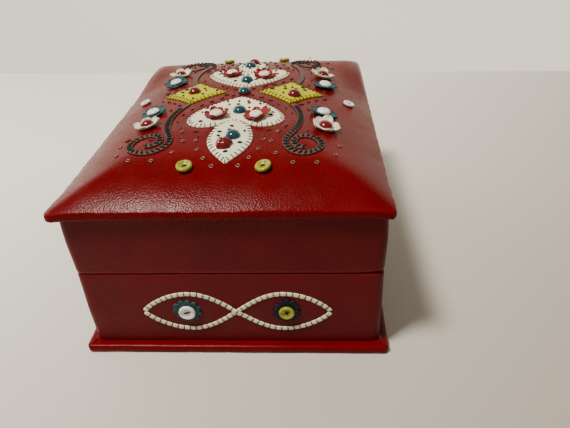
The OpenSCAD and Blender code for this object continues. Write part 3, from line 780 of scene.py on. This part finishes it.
class CASE_OT_plinth(Build):
    """Glossy leather wrapped round the plinth board, with folded mitres at the corners."""

    bl_idname = "case.plinth"
    bl_label = "Plinth leather"

    def build(self):
        a, b, top = PLINTH_HIGH[0], PLINTH_HIGH[1], PLINTH_HIGH[2]
        outline, out = rounded_box(a, b, 3.0, step=2.5, corner=24)
        shown_rows, top_edge, foot_edge = 15, slice(5, 8), slice(11, 13)
        profile = np.array([(9.0, top), (6.0, top), (4.4, top), (3.0, top), (1.9, top - 0.03),
                            (1.1, top - 0.2), (0.5, top - 0.6), (0.12, top - 1.2), (0.0, top - 2.0),
                            (0.0, 2.4), (0.06, 1.3), (0.35, 0.5), (0.9, 0.1), (1.6, 0.0), (6.0, 0.0),
                            (15.6, 0.0), (16.0, 0.4), (15.6, SKIN), (1.6, SKIN), (1.05, 1.6),
                            (1.05, top - 1.6), (1.6, top - SKIN), (9.0, top - SKIN)])
        flat, z = around(outline, out, profile)
        from_side, from_end = a - np.abs(outline[:, 0]), b - np.abs(outline[:, 1])
        diagonal, close = from_side - from_end, np.exp(-(from_side + from_end) / 3.5)
        groove = close * np.exp(-(diagonal / 0.45) ** 2)
        lap = close / (1 + np.exp(-diagonal / 0.25))
        shown = (np.arange(len(profile)) < shown_rows)[:, None]
        z = z + shown * (0.22 * lap - 0.6 * groove)[None] * (z > 2.4)
        walk = np.arange(len(outline))
        pucker = 0.05 * np.sin(walk * 0.8) + 0.05 * np.sin(walk * 0.31)
        flat = flat + out[None] * (shown * (0.25 * lap - 0.55 * groove + pucker)[None])[..., None]
        mark = np.zeros(flat.shape[:2])
        # Painted highlight, with some wear: the plinth's top and foot edges are marked to be painted lighter.
        mark[top_edge] = 0.6
        mark[foot_edge] = 0.8
        cover = Shape().grid(raised(flat, z) * MM, loop=True, mark=mark)
        cover.piece("plinth_leather_cover", "base", "glossy_red_leather", ["base_board_leather"])


class CASE_OT_hearts(Build):
    """Ivory hearts and teardrops and lime diamonds."""

    bl_idname = "case.hearts"
    bl_label = "Hearts, teardrops and diamonds"

    def build(self):
        over = lambda x, y, h: on_lid(x, y, h + drop_lift(y))
        for word, (half, _) in HEARTS.items():
            middle = np.array([0, half[:, 1].mean()])
            patch(Shape(), closed(half), middle, on_lid).piece(
                f"heart_{word}_leather", "lid", "ivory_leather", [f"heart_{word}"])
            half, s = DROPS[word]
            patch(Shape(), closed(half), np.array([0, -DROP_MIDDLE * s]), over).piece(
                f"teardrop_{word}_leather", "lid", "ivory_leather", [f"teardrop_{word}"])
        for word, middle in DIAMONDS.items():
            patch(Shape(), diamond_outline(word), np.array(middle), on_lid).piece(
                f"diamond_{word}_leather", "lid", "lime_leather", [f"diamond_{word}"])


class CASE_OT_scrolls(Build):
    """Charcoal scroll straps sewn down with slanting stitches."""

    bl_idname = "case.scrolls"
    bl_label = "Scroll straps"

    def build(self):
        stitches, count = Shape(), 120
        for q in QUARTERS:
            path = resample(strap_line(q), count=count, ends=True)
            t = np.linspace(0, 1, count)
            to_end = np.minimum(t, 1 - t) / 0.012
            width = size("strap_width") * np.clip(to_end, 0.2, 1) ** 0.5
            height = LEAF_T * 1.1 * np.clip(to_end, 0.3, 1)
            rear = q[1] < 0
            word = ("rear" if rear else "front") + ("_left" if q[0] < 0 else "_right")
            along = np.linalg.norm(path[0] - STRAP_START * q, axis=1)
            sunk = -0.7 * rear * (1 - ramp((along - 4) / 3))
            ribbon(path, on_lid, width, height, sunk).piece(
                f"scroll_{word}_strap", "lid", "charcoal_leather", [f"scroll_{word}"])
            at, tangent = resample(strap_line(q), 2.6)
            clear = np.linalg.norm(at - STRAP_START * q, axis=1) > (44 if rear else 6)
            at, tangent = at[clear], tangent[clear]
            across = normal_of(tangent) * 1.45 + tangent * 0.6 * q[0] * q[1]
            threads(stitches, at - across, at + across, on_lid, arched(0.4, 0.52, 0.3), radius=0.72, rows=9)
        loose = strap_line(np.array([1, -1]))[-1:]
        threads(stitches, loose, loose + [2.2, -1.2], on_lid,
                lambda share, line: 0.8 + 3.4 * np.sin(2.1 * share)[None], radius=0.3, rows=12)
        stitches.piece("scroll_strap_stitches", "lid", "dark_thread", ["scroll_stitches"],
                       look=tinted("strap_thread", (0.003, 0.002, 0.002)))


class CASE_OT_stitches(Build):
    """Blanket stitches round the applied shapes and rows of small marks in the red leather."""

    bl_idname = "case.stitches"
    bl_label = "Stitches"

    def build(self):
        shape = Shape()
        runs = []
        for word in HEARTS:
            half, s = HEARTS[word]
            half = half[(half[:, 0] > 7) | (HEART_HALF[:, 1] > -30)]
            drop = closed(DROPS[word][0])
            runs += [(half, -s, False, 0), (half * [-1, 1], s, False, 0), (drop, -s, True, 1)]
        runs += [(diamond_outline(word), 1, True, 0) for word in DIAMONDS]
        reach, start = size("stitch_length"), 0.35
        rng = np.random.default_rng(7)
        for path, side, loop, is_drop in runs:
            at, tangent = resample(path, size("stitch_pitch"), loop=loop)
            inward = normal_of(tangent) * side
            slant = tangent * (0.35 * rng.standard_normal(len(at))[:, None] + 0.3)
            flat = lambda share: leaf_height(share * (reach + start) - start)
            over = lambda share, line: ((flat(share) + 0.2 * np.sin(math.pi * share) - 0.03)[None]
                                        + is_drop * drop_lift(line[..., 1]))
            threads(shape, at - inward * start, at + inward * reach + slant, on_lid, over, radius=0.28)
        shape.piece("edge_stitches", "lid", "dark_thread", ["applique_stitches"])
        self.marks()

    def marks(self):
        """Short marks in rows beside the shapes and straps, and others scattered on the shapes."""
        outlines = applied_outlines()
        rows = [(resample(o, 6.6, loop=True), d) for d in (5.2, -5.2) for o in outlines]
        rows += [(resample(strap_line(q), 6.4), d) for q in QUARTERS for d in (6.2, -6.2)]
        at = np.concatenate([r[0] + normal_of(r[1]) * d for r, d in rows])
        along = np.concatenate([r[1] for r, _ in rows])
        away = nearest(at[:, 0] + MOTIF_X, at[:, 1], SEAMS)
        flowers = np.array(TEAL_FLOWERS + WHITE_FLOWERS)
        free = (away > 4.0) & (nearest(at[:, 0], at[:, 1], flowers) > 8.5) & (np.abs(at[:, 0]) < 64)
        free &= ~np.any([inside(at, o) for o in outlines], axis=0) & (at[:, 1] > -58) & (at[:, 1] < 66)
        at, along = at[free], along[free]
        keep = [k for k in range(len(at)) if k == 0 or np.linalg.norm(at[:k] - at[k], axis=1).min() > 4.2]
        at, along = at[keep], along[keep]
        rng = np.random.default_rng(11)
        lean = along * 1.45 + normal_of(along) * 0.5 * rng.standard_normal((len(at), 1))
        red = threads(Shape(), at - lean, at + lean, on_lid, arched(0.08, 0.1), radius=0.5, rows=5)
        red.piece("leather_stitch_marks", "lid", "dark_thread",
                  look=tinted("leather_mark", (0.055, 0.012, 0.010)))
        mesh = np.stack(np.meshgrid(np.arange(-48, 49, 6.0), np.arange(-76, 77, 5.8)), -1).reshape(-1, 2)
        mesh = mesh + rng.uniform(-1.7, 1.7, mesh.shape)
        spots = np.array(TEAL_DOMES + RED_DOMES + [BARE_TEAL_DOME])
        clear = nearest(mesh[:, 0] + MOTIF_X, mesh[:, 1], SEAMS) > 3.3
        clear &= nearest(mesh[:, 0], mesh[:, 1], spots) > 5.0
        clear &= nearest(mesh[:, 0], mesh[:, 1], np.array(HEART_FLOWERS)) > 7.5
        mesh = mesh[clear & np.any([inside(mesh, o) for o in outlines], axis=0)]
        turn = rng.uniform(0, math.pi, len(mesh))
        half = np.stack([np.cos(turn), np.sin(turn) * 0.6], 1) * 1.3
        drops = np.any([inside(mesh, closed(outline)) for outline, _ in DROPS.values()], axis=0)
        top = arched(1.0 + (drops * drop_lift(mesh[:, 1]))[:, None], 0.15)
        threads(Shape(), mesh - half, mesh + half, on_lid, top, radius=0.68, rows=5).piece(
            "scattered_stitch_marks", "lid", "dark_thread")


def petals(count, width, reach, rise, cup, seed, thickness=0.6, root=1.2):
    """Rounded leather petals round a middle: narrow roots that widen and end round, lifted with the square
    of the way out and curled up at both sides. Rows of [x, y, height]."""
    rng = np.random.default_rng(seed)
    u, v = np.linspace(0, 1, 10), np.linspace(-1, 1, 7)
    half = width * (0.5 + 0.5 * np.sin(math.pi / 2 * np.clip(u / 0.6, 0, 1))) * np.sqrt(
        np.clip(1 - np.clip((u - 0.6) / 0.4, 0, 1) ** 2, 0.012, 1))
    loop_v = np.concatenate([v, v[::-1]])
    loop_t = np.concatenate([np.full(7, 1), np.full(7, 0)]) * thickness
    rows = []
    for k in range(count):
        turn = 2 * math.pi * (k + 0.12 * rng.standard_normal()) / count
        grow, lean = 1 + 0.07 * rng.standard_normal(), 1 + 0.22 * rng.standard_normal()
        r = root + (reach * grow - root) * u[:, None] + 0 * loop_v
        across = half[:, None] * loop_v
        h = rise * lean * u[:, None] ** 2 + cup * lean * (loop_v ** 2) * u[:, None] + loop_t
        rows.append(np.stack([r * math.cos(turn) - across * math.sin(turn),
                              r * math.sin(turn) + across * math.cos(turn), h], -1))
    return np.stack(rows)


def disc(r, h, count=20):
    """A low round button of leather under a flower's middle."""
    return lathe([(0.01, h), (r * 0.7, h), (r * 0.95, h * 0.8), (r, h * 0.3), (r * 0.95, 0), (0.01, 0)],
                 count)


class CASE_OT_flowers(Build):
    """Raised leather flowers on the lid."""

    bl_idname = "case.flowers"
    bl_label = "Raised flowers"

    def build(self):
        reach = size("flower_width") / 2
        kinds = [("teal", "teal_leather", TEAL_FLOWERS, 8, 2.75, 0.98, 1.0, 0.5, 0.1),
                 ("white", "ivory_leather", WHITE_FLOWERS, 7, 2.85, 0.92, 2.1, 1.0, 0.1),
                 ("red", "scarlet_leather", HEART_FLOWERS, 8, 2.3, 0.9, 2.0, 0.8, 0.9)]
        for n, (word, slot, places, count, width, share, rise, cup, base) in enumerate(kinds):
            shape = Shape()
            for k, at in enumerate(places):
                tilt = (0.12 * math.sin(5 * k + n), 0.10 * math.cos(3 * k + 2 * n))
                leaves = petals(count, width, reach * share, rise, cup, 10 * n + k)
                shape.grid(put(leaves + [0, 0, base], at, on_lid, tilt, turn=0.4 * k + n))
                shape.grid(put(disc(4.0, 1.3) + [0, 0, base], at, on_lid, tilt))
            shape.piece(f"{word}_petal_flowers", "lid", slot, [f"{word}_flowers"])


def dome(width, height):
    """A glazed dome: a quarter ellipse on a short foot."""
    t = np.linspace(0.02, math.pi / 2, 10)
    rows = [(width / 2 * math.sin(a), 0.5 + (height - 0.5) * math.cos(a)) for a in t]
    return lathe(rows + [(width / 2, 0.2), (width / 2 - 0.2, 0.0), (0.02, 0.0)], 28)


class CASE_OT_domes(Build):
    """Glossy domes on the lid and in the flowers."""

    bl_idname = "case.domes"
    bl_label = "Domes"

    def build(self):
        width = size("dome_width")
        teal, red, white, eyes = Shape(), Shape(), Shape(), Shape()
        for at in [BARE_TEAL_DOME] + TEAL_DOMES:
            leaf = 0 if at == BARE_TEAL_DOME else LEAF_T
            teal.grid(put(dome(width, 3.4) + [0, 0, leaf], at, on_lid))
        for at in RED_DOMES:
            one = crumpled(dome(width * 1.12, 3.7)) if at[1] < -60 else dome(width, 3.5)
            red.grid(put(one + [0, 0, LEAF_T], at, on_lid))
        for at in WHITE_FLOWERS:
            red.grid(put(dome(width * 0.94, 2.9) + [0, 0, 1.3], at, on_lid))
        for base, places in ((1.3, TEAL_FLOWERS), (2.2, HEART_FLOWERS)):
            for at in places:
                white.grid(put(dimpled(width * 0.96, 2.1) + [0, 0, base], at, on_lid))
                eyes.grid(put(disc(0.55, 0.3, 8) + [0, 0, base + 1.65], at, on_lid))
        teal.piece("teal_glazed_domes", "lid", "teal_gloss", ["teal_domes"])
        red.piece("red_glazed_domes", "lid", "scarlet_gloss", ["red_domes"])
        white.piece("white_glazed_domes", "lid", "ivory_gloss", ["white_domes"])
        eyes.piece("white_dome_threads", "lid", "dark_thread")


def crumpled(p):
    """The same points pushed in and out round the middle, as on a badly cast bead."""
    turn = np.arctan2(p[..., 1], p[..., 0])[..., None]
    ridge = np.sin(5 * turn + 0.5 * p[..., 2:]) + 0.6 * np.sin(8 * turn + 1)
    return p * (1 + 0.055 * ridge * [1, 1, 1.3])


def dimpled(width, height):
    """A flattish glazed dome with a small dimple where its thread comes through."""
    r, h = width / 2, height
    return lathe([(0.02, h * 0.86), (r * 0.14, h * 0.88), (r * 0.26, h * 0.97), (r * 0.42, h),
                  (r * 0.62, h * 0.94), (r * 0.8, h * 0.78), (r * 0.93, h * 0.52), (r, h * 0.25),
                  (r * 0.96, h * 0.06), (0.02, 0)], 32)


def button(width, height):
    """A dished button with a rolled rim."""
    r, h = width / 2, height
    return lathe([(0.02, h * 0.5), (r * 0.3, h * 0.52), (r * 0.52, h * 0.62), (r * 0.64, h * 0.84),
                  (r * 0.74, h * 0.98), (r * 0.84, h), (r * 0.93, h * 0.9), (r * 0.99, h * 0.68),
                  (r, h * 0.45), (r * 0.94, h * 0.2), (r * 0.75, 0.05), (0.02, 0.0)], 36)


class CASE_OT_buttons(Build):
    """Sewn buttons on the lid and the front, with their threads."""

    bl_idname = "case.buttons"
    bl_label = "Buttons"

    def cross(self, shape, at, place, length, height, angles):
        for angle in angles:
            d = np.array([math.cos(angle), math.sin(angle)]) * length / 2
            threads(shape, np.array([at - d]), np.array([at + d]), place, arched(height, 0.22), radius=0.42)

    def build(self):
        width = size("button_width")
        lime, white, sewn = Shape(), Shape(), Shape()
        for k, at in enumerate(np.array(LIME_BUTTONS)):
            tilt = (0.2 if k == 1 else 0.0, -0.16 if at[1] < 0 else 0.0)
            lime.grid(put(button(width, 2.4), at, on_lid, tilt=tilt))
            self.cross(sewn, at, on_lid, 2.6, 1.3, (0.2,))
        for at in np.array(WHITE_BUTTONS):
            white.grid(put(button(width * 0.8, 1.8), at, on_lid))
            self.cross(sewn, at, on_lid, 2.0, 1.0, (0.6,))
        lime.piece("lime_sewn_buttons", "lid", "lime_gloss", ["lime_buttons"])
        white.piece("white_sewn_buttons", "lid", "ivory_gloss", ["white_buttons"])
        sewn.piece("lid_button_threads", "lid", "dark_thread", ["button_stitches"])
        thread = Shape()
        for word, slot, x, wide, length, angles in (
                ("white", "ivory_gloss", TEAL_EYE_X, 8.7, 3.9, (0.3,)),
                ("lime", "lime_gloss", NAVY_EYE_X, 8.1, 2.7, (0.3, 1.9))):
            at = np.array([x, EYE_MID[1] + 0.5])
            Shape().grid(put(button(wide, 2.0) + [0, 0, LEAF_T + 0.1], at, on_front)).piece(
                f"front_{word}_sewn_button", "base", slot, [f"front_{word}_button"])
            self.cross(thread, at, on_front, length, LEAF_T + 1.2, angles)
        thread.piece("front_button_threads", "base", "dark_thread", ["front_button_stitches"])


class CASE_OT_rings(Build):
    """Small pierced rings beside the teardrops and the scrolls, each with a near-black disc painted as the
    shade in its hole.
    """

    bl_idname = "case.rings"
    bl_label = "Pierced rings"

    def build(self):
        drop_at, drop_t = resample(TEARDROP_HALF[TEARDROP_HALF[:, 1] < -56], 6.2)
        tube = np.linspace(0, 2 * math.pi, 7, endpoint=False)
        radius, thick = 0.86, 0.3
        ring = lathe(np.stack([radius + thick * np.cos(tube), 0.2 + thick * np.sin(tube)], 1), 14)
        rings, hole_shade_discs = Shape(), Shape()
        for q in QUARTERS:
            curl_at, curl_t = resample(WIDE_TURNS if q[0] < 0 < q[1] else OUTER_TURNS, 6.4)
            spots = np.concatenate([drop_at + normal_of(drop_t) * 5.5, curl_at - normal_of(curl_t) * 7])
            for at in spots[spots[:, 1] < -49] * q:
                rings.grid(put(ring, at, on_lid), loop=True)
                # Painted shade: a near-black disc in each ring stands for the shade inside the hole.
                hole_shade_discs.grid(put(disc(0.75, 0.12, 10), at, on_lid))
        rings.piece("pierced_ring_rims", "lid", "ring_metal", ["pierced_rings"])
        hole_shade_discs.piece("pierced_ring_painted_hole_shade", "lid", "dark_thread")


class CASE_OT_lacing(Build):
    """Laced eyes on the front: two crossing laces bound down with thread."""

    bl_idname = "case.lacing"
    bl_label = "Front lacing"

    def build(self):
        u = np.linspace(-1, 1, 160)
        wave = np.sin(math.pi * u)
        blunt = np.where(np.abs(u) > 0.5, 0.72, 1.0)
        lace = np.stack([EYE_MID[0] + EYE_L * u,
                         EYE_MID[1] - EYE_H * np.sign(wave) * np.maximum(np.abs(wave), 1e-9) ** blunt], 1)
        count = round(np.linalg.norm(np.diff(lace, axis=0), axis=1).sum() / LACE_PITCH)
        thread, fine = Shape(), 8
        walk = np.arange(count * fine + 1)
        swell = np.abs(np.sin(math.pi * walk / fine)) ** 0.55
        ends = np.clip(np.minimum(walk, walk[::-1]) / 2, 0.25, 1)
        for word, s in (("over", 1), ("under", -1)):
            line = (lace - EYE_MID) * [1, s] + EYE_MID
            path = resample(line, count=len(walk), ends=True)
            width = LACE_W * (0.84 + 0.12 * swell) * ends
            height = LEAF_T * (0.75 + 0.35 * swell) * ends
            hump = 0.75 * (s > 0) * np.exp(-(np.linalg.norm(path[0] - EYE_MID, axis=1) / 3.2) ** 2)
            ribbon(path, on_front, width, height, hump).piece(
                f"front_lace_{word}_strip", "base", "ivory_leather",
                [f"front_lace_{word}"])
            joins = slice(fine, -fine, fine)
            centre, tangent = path[0][joins], path[1][joins]
            across = normal_of(tangent) * (LACE_W / 2 + 0.15)
            arch = arched(0.1 + hump[joins][:, None], 0.68, 0.45)
            threads(thread, centre - across, centre + across, on_front, arch, radius=0.27, rows=8)
        thread.piece("front_lace_threads", "base", "dark_thread", ["front_lace_stitches"])


class CASE_OT_front_flowers(Build):
    """Scalloped flat flowers under the front buttons."""

    bl_idname = "case.front_flowers"
    bl_label = "Front flowers"

    def build(self):
        t = np.linspace(0, 2 * math.pi, 220, endpoint=False)
        for word, slot, x, lobes, seed in (("teal", "teal_leather", TEAL_EYE_X, 11, 3),
                                           ("navy", "navy_leather", NAVY_EYE_X, 12, 5)):
            uneven = 0.25 * np.sin(2 * t + seed) + 0.2 * np.sin(3 * t + 2 * seed)
            r = 5.9 + 1.75 * np.abs(np.sin(lobes * t / 2 + seed)) ** 0.8 + uneven
            middle = np.array([x, EYE_MID[1] + 0.6])
            outline = middle + np.stack([r * np.cos(t), r * np.sin(t)], 1)
            curl = lambda inset: leaf_height(inset, r=0.4) + 0.35 * np.exp(-((inset - 0.8) / 0.9) ** 2)
            patch(Shape(), outline, middle, on_front, curl).piece(
                f"front_{word}_scalloped_flower", "base", slot, [f"front_{word}_flower"])


def slab_outline(a, b, r):
    """Points round a lining panel."""
    return rounded_box(a, b, r, step=4.0, corner=8)[0]


def stacked(x, y, z):
    """Coordinates in millimetres, single or in arrays, as points in metres."""
    return np.stack(np.broadcast_arrays(x, y, z), -1) * MM


class CASE_OT_linings(Build):
    """Padded suede floor and ceiling, and suede panels on the inside of the walls."""

    bl_idname = "case.linings"
    bl_label = "Linings"

    def build(self):
        plump = lambda depth, rim: (lambda inset: rim + (depth - rim) * (1 - np.exp(-inset / 3.0)))
        for name, body, node, sign in (("tray_floor_cushion", "base", "base_floor_pad", 1),
                                       ("lid_ceiling_cushion", "lid", "lid_ceiling_pad", -1)):
            low, high = span(node)
            depth = high[2] - low[2]
            back = low[2] if sign == 1 else high[2]
            place = lambda x, y, h: stacked(x, y, back + sign * np.asarray(h, float))
            pad = patch(Shape(), slab_outline(high[0] - 0.6, high[1] - 0.6, 3), np.zeros(2), place,
                        plump(depth, 0.6), rings=20, under=0.0)
            pad.piece(name, body, "suede_lining", [node])
        for name, body, node in (("tray_suede_panels", "base", "base_wall_linings"),
                                 ("lid_suede_panels", "lid", "lid_wall_linings")):
            low, high = span(node)
            middle, half_h = (low[2] + high[2]) / 2, (high[2] - low[2]) / 2
            shape = Shape()
            for s in (-1, 1):
                ends = lambda a, b, h: stacked(a, s * (high[1] - h), b + middle)
                sides = lambda a, b, h: stacked(s * (high[0] - h), a, b + middle)
                for half, place in ((high[0] - 0.1, ends), (high[1] - 1.0, sides)):
                    panel = slab_outline(half, half_h - 0.1, 0.8)
                    patch(shape, panel, np.zeros(2), place, plump(0.8, 0.3), under=0.0)
            shape.piece(name, body, "suede_lining", [node])


class CASE_OT_hinges(Build):
    """Leather strip outside and suede strip inside, along the line where the lid turns."""

    bl_idname = "case.hinges"
    bl_label = "Hinge strips"

    def strip(self, name, nodes, slot, half, y, t, z, bend):
        """A flat strip whose rows are close together round the hinge line, ends rounded in section."""
        low, high = bend
        bent = np.linspace(low, high, 26)[1:-1]
        rows = np.concatenate([np.linspace(z[0], low, 8), bent, np.linspace(high, z[1], 8)])
        ends = np.clip(np.minimum(rows - z[0], z[1] - rows) / 0.5, 0, 1)
        thick = t * (0.35 + 0.65 * np.sqrt(1 - (1 - ends) ** 2))
        x = np.linspace(-half, half, 60)
        rim = np.clip((half - np.abs(x)) / 0.6, 0, 1)
        rim = 0.35 + 0.65 * np.sqrt(1 - (1 - rim) ** 2)
        outer = stacked(x, y + thick[:, None] * rim, rows[:, None])
        inner = stacked(x, y, rows[:, None])
        p = np.concatenate([outer, inner[:, ::-1]], 1)
        piece = Shape().grid(p).piece(name, None, slot, nodes)
        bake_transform(piece)

    def build(self):
        low, high = span("hinge_leather_lower")[0], span("hinge_leather_upper")[1]
        self.strip("outer_hinge_strip", ["hinge_leather_lower", "hinge_leather_upper"], "wine_leather",
                   high[0], low[1], high[1] - low[1], (low[2], high[2]), (HINGE_Z - 0.9, HINGE_Z + 0.9))
        low, high = span("inner_hinge_lower")[0], span("inner_hinge_upper")[1]
        self.strip("inner_hinge_strip", ["inner_hinge_lower", "inner_hinge_upper"], "suede_lining",
                   high[0], low[1], high[1] - low[1], (low[2], high[2]), (HINGE_Z - 6, HINGE_Z + 6))


class CASE_OT_boards(Build):
    """Card, foam and underlay that the leather covers."""

    bl_idname = "case.boards"
    bl_label = "Boards and padding"

    def build(self):
        soft = {"lid_padding": "foam_padding", "base_underlay": "suede_lining"}
        for name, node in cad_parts.items():
            if not node.hide_render:
                node.data.materials.clear()
                node.data.materials.append(finish(soft.get(name, "box_board")))


class CASE_OT_stage(Build):
    """Pale table with painted shade towards the right and front, soft lights and the camera."""

    bl_idname = "case.stage"
    bl_label = "Table, lights and camera"

    def light(self, name, place, target, side, power, tint):
        data = bpy.data.lights.new(name, "AREA")
        data.shape, data.size, data.size_y = "RECTANGLE", side[0], side[1]
        data.energy, data.color = power, tint
        lamp = placed(name, data)
        ray = np.array(target) - place
        lamp.location = place
        lamp.rotation_euler = (math.atan2(math.hypot(ray[0], ray[1]), -ray[2]), 0,
                               math.atan2(ray[1], ray[0]) - math.pi / 2)

    def sheet(self, name, corners, look):
        mesh = bpy.data.meshes.new(name)
        mesh.from_pydata(corners, [], [(0, 1, 2, 3)])
        mesh.materials.append(look)
        return placed(name, mesh)

    def build(self):
        f = Finish("table_top", Specular_IOR_Level=0.3)
        haze = f.span(f.noise(3.0, 3.0), 0.3, 0.7)
        split = f.add("SeparateXYZ", Vector=f.place)
        # Painted shade: the table is painted darker towards the right and the front, a painted falloff of the
        # window light.
        across = f.math("ADD", split.outputs[0], f.math("MULTIPLY", split.outputs[1], -1.1))
        pale = f.blend(haze, (0.90, 0.87, 0.80, 1), (0.92, 0.89, 0.82, 1))
        f.set(f.shader, Base_Color=f.blend(f.span(across, -0.35, 0.4), pale, (0.33, 0.285, 0.235, 1)),
              Roughness=f.span(haze, 0, 1, 0.5, 0.6))
        half, near, far, slope = 3.0, -3.0, 0.37, -0.069
        table = self.sheet("table", [(-half, near, 0), (half, near, 0), (half, far + slope * half, 0),
                                     (-half, far - slope * half, 0)], f.material)
        wall = Finish("back_wall", Roughness=0.9, Specular_IOR_Level=0.1, Emission_Strength=1.15)
        wall.set(wall.shader, Emission_Color=(0.92, 0.84, 0.66, 1),
                 Base_Color=wall.blend(wall.noise(2.0), (0.60, 0.57, 0.52, 1), (0.63, 0.60, 0.55, 1)))
        behind = [(-5, 2.8, -3), (5, 2.8, -3), (5, 2.8, 3), (-5, 2.8, 3)]
        far_wall = self.sheet("far_wall", behind, wall.material)
        world = bpy.data.worlds.new("soft_room")
        bpy.context.scene.world = world
        world.use_nodes = True
        world.node_tree.nodes["Background"].inputs[0].default_value = (0.88, 0.81, 0.70, 1)
        world.node_tree.nodes["Background"].inputs[1].default_value = 0.36
        self.light("ceiling_lamp", (-0.50, -0.42, 1.52), (0, 0, 0.05), (0.28, 0.28), 40, (1, 0.94, 0.85))
        self.light("window", (-2.2, 1.2, 0.9), (0, 0, 0.1), (2.0, 1.4), 20, (1, 0.96, 0.90))
        self.camera()

    def camera(self):
        data = bpy.data.cameras.new("camera")
        data.lens, data.sensor_width = bpy.context.scene.case_sizes.lens, 36
        data.dof.use_dof = False
        data.clip_start = 0.01
        camera = placed("camera", data)
        yaw, pitch, roll = (math.radians(v) for v in (-4.142, 33.322, -2.858))
        ahead = np.array([math.sin(yaw) * math.cos(pitch), math.cos(yaw) * math.cos(pitch), -math.sin(pitch)])
        level = np.array([math.cos(yaw), -math.sin(yaw), 0])
        up = np.cross(level, ahead)
        right = math.cos(roll) * level + math.sin(roll) * up
        top = -math.sin(roll) * level + math.cos(roll) * up
        turn = Matrix(np.stack([right, top, -ahead], 1).tolist()).to_4x4()
        camera.matrix_world = Matrix.Translation((0.0434, -0.2880, 0.2099)) @ turn
        bpy.context.scene.camera = camera


STEPS = [CASE_OT_stage, CASE_OT_lid_cover, CASE_OT_walls, CASE_OT_plinth, CASE_OT_hearts, CASE_OT_scrolls,
         CASE_OT_stitches, CASE_OT_flowers, CASE_OT_domes, CASE_OT_buttons, CASE_OT_rings, CASE_OT_lacing,
         CASE_OT_front_flowers, CASE_OT_linings, CASE_OT_hinges, CASE_OT_boards]


class CASE_PT_maker(bpy.types.Panel):
    """Lists the settings and the steps that make the case."""

    bl_idname = "CASE_PT_maker"
    bl_label = "Jewellery Case"
    bl_space_type = "VIEW_3D"
    bl_region_type = "UI"
    bl_category = "Jewellery Case"

    def draw(self, context):
        for group in (context.scene.case_sizes, context.scene.case_colours):
            for key in group.__annotations__:
                self.layout.prop(group, key)
        for step in STEPS:
            self.layout.operator(step.bl_idname)


CLASSES = [CaseColours, CaseSizes, *STEPS, CASE_PT_maker]


def register():
    for cls in CLASSES:
        bpy.utils.register_class(cls)
    bpy.types.Scene.case_colours = bpy.props.PointerProperty(type=CaseColours)
    bpy.types.Scene.case_sizes = bpy.props.PointerProperty(type=CaseSizes)


def unregister():
    del bpy.types.Scene.case_sizes
    del bpy.types.Scene.case_colours
    for cls in reversed(CLASSES):
        bpy.utils.unregister_class(cls)


def main():
    register()
    for step in STEPS:
        group, name = step.bl_idname.split(".")
        getattr(getattr(bpy.ops, group), name)()


if __name__ == "__main__":
    main()
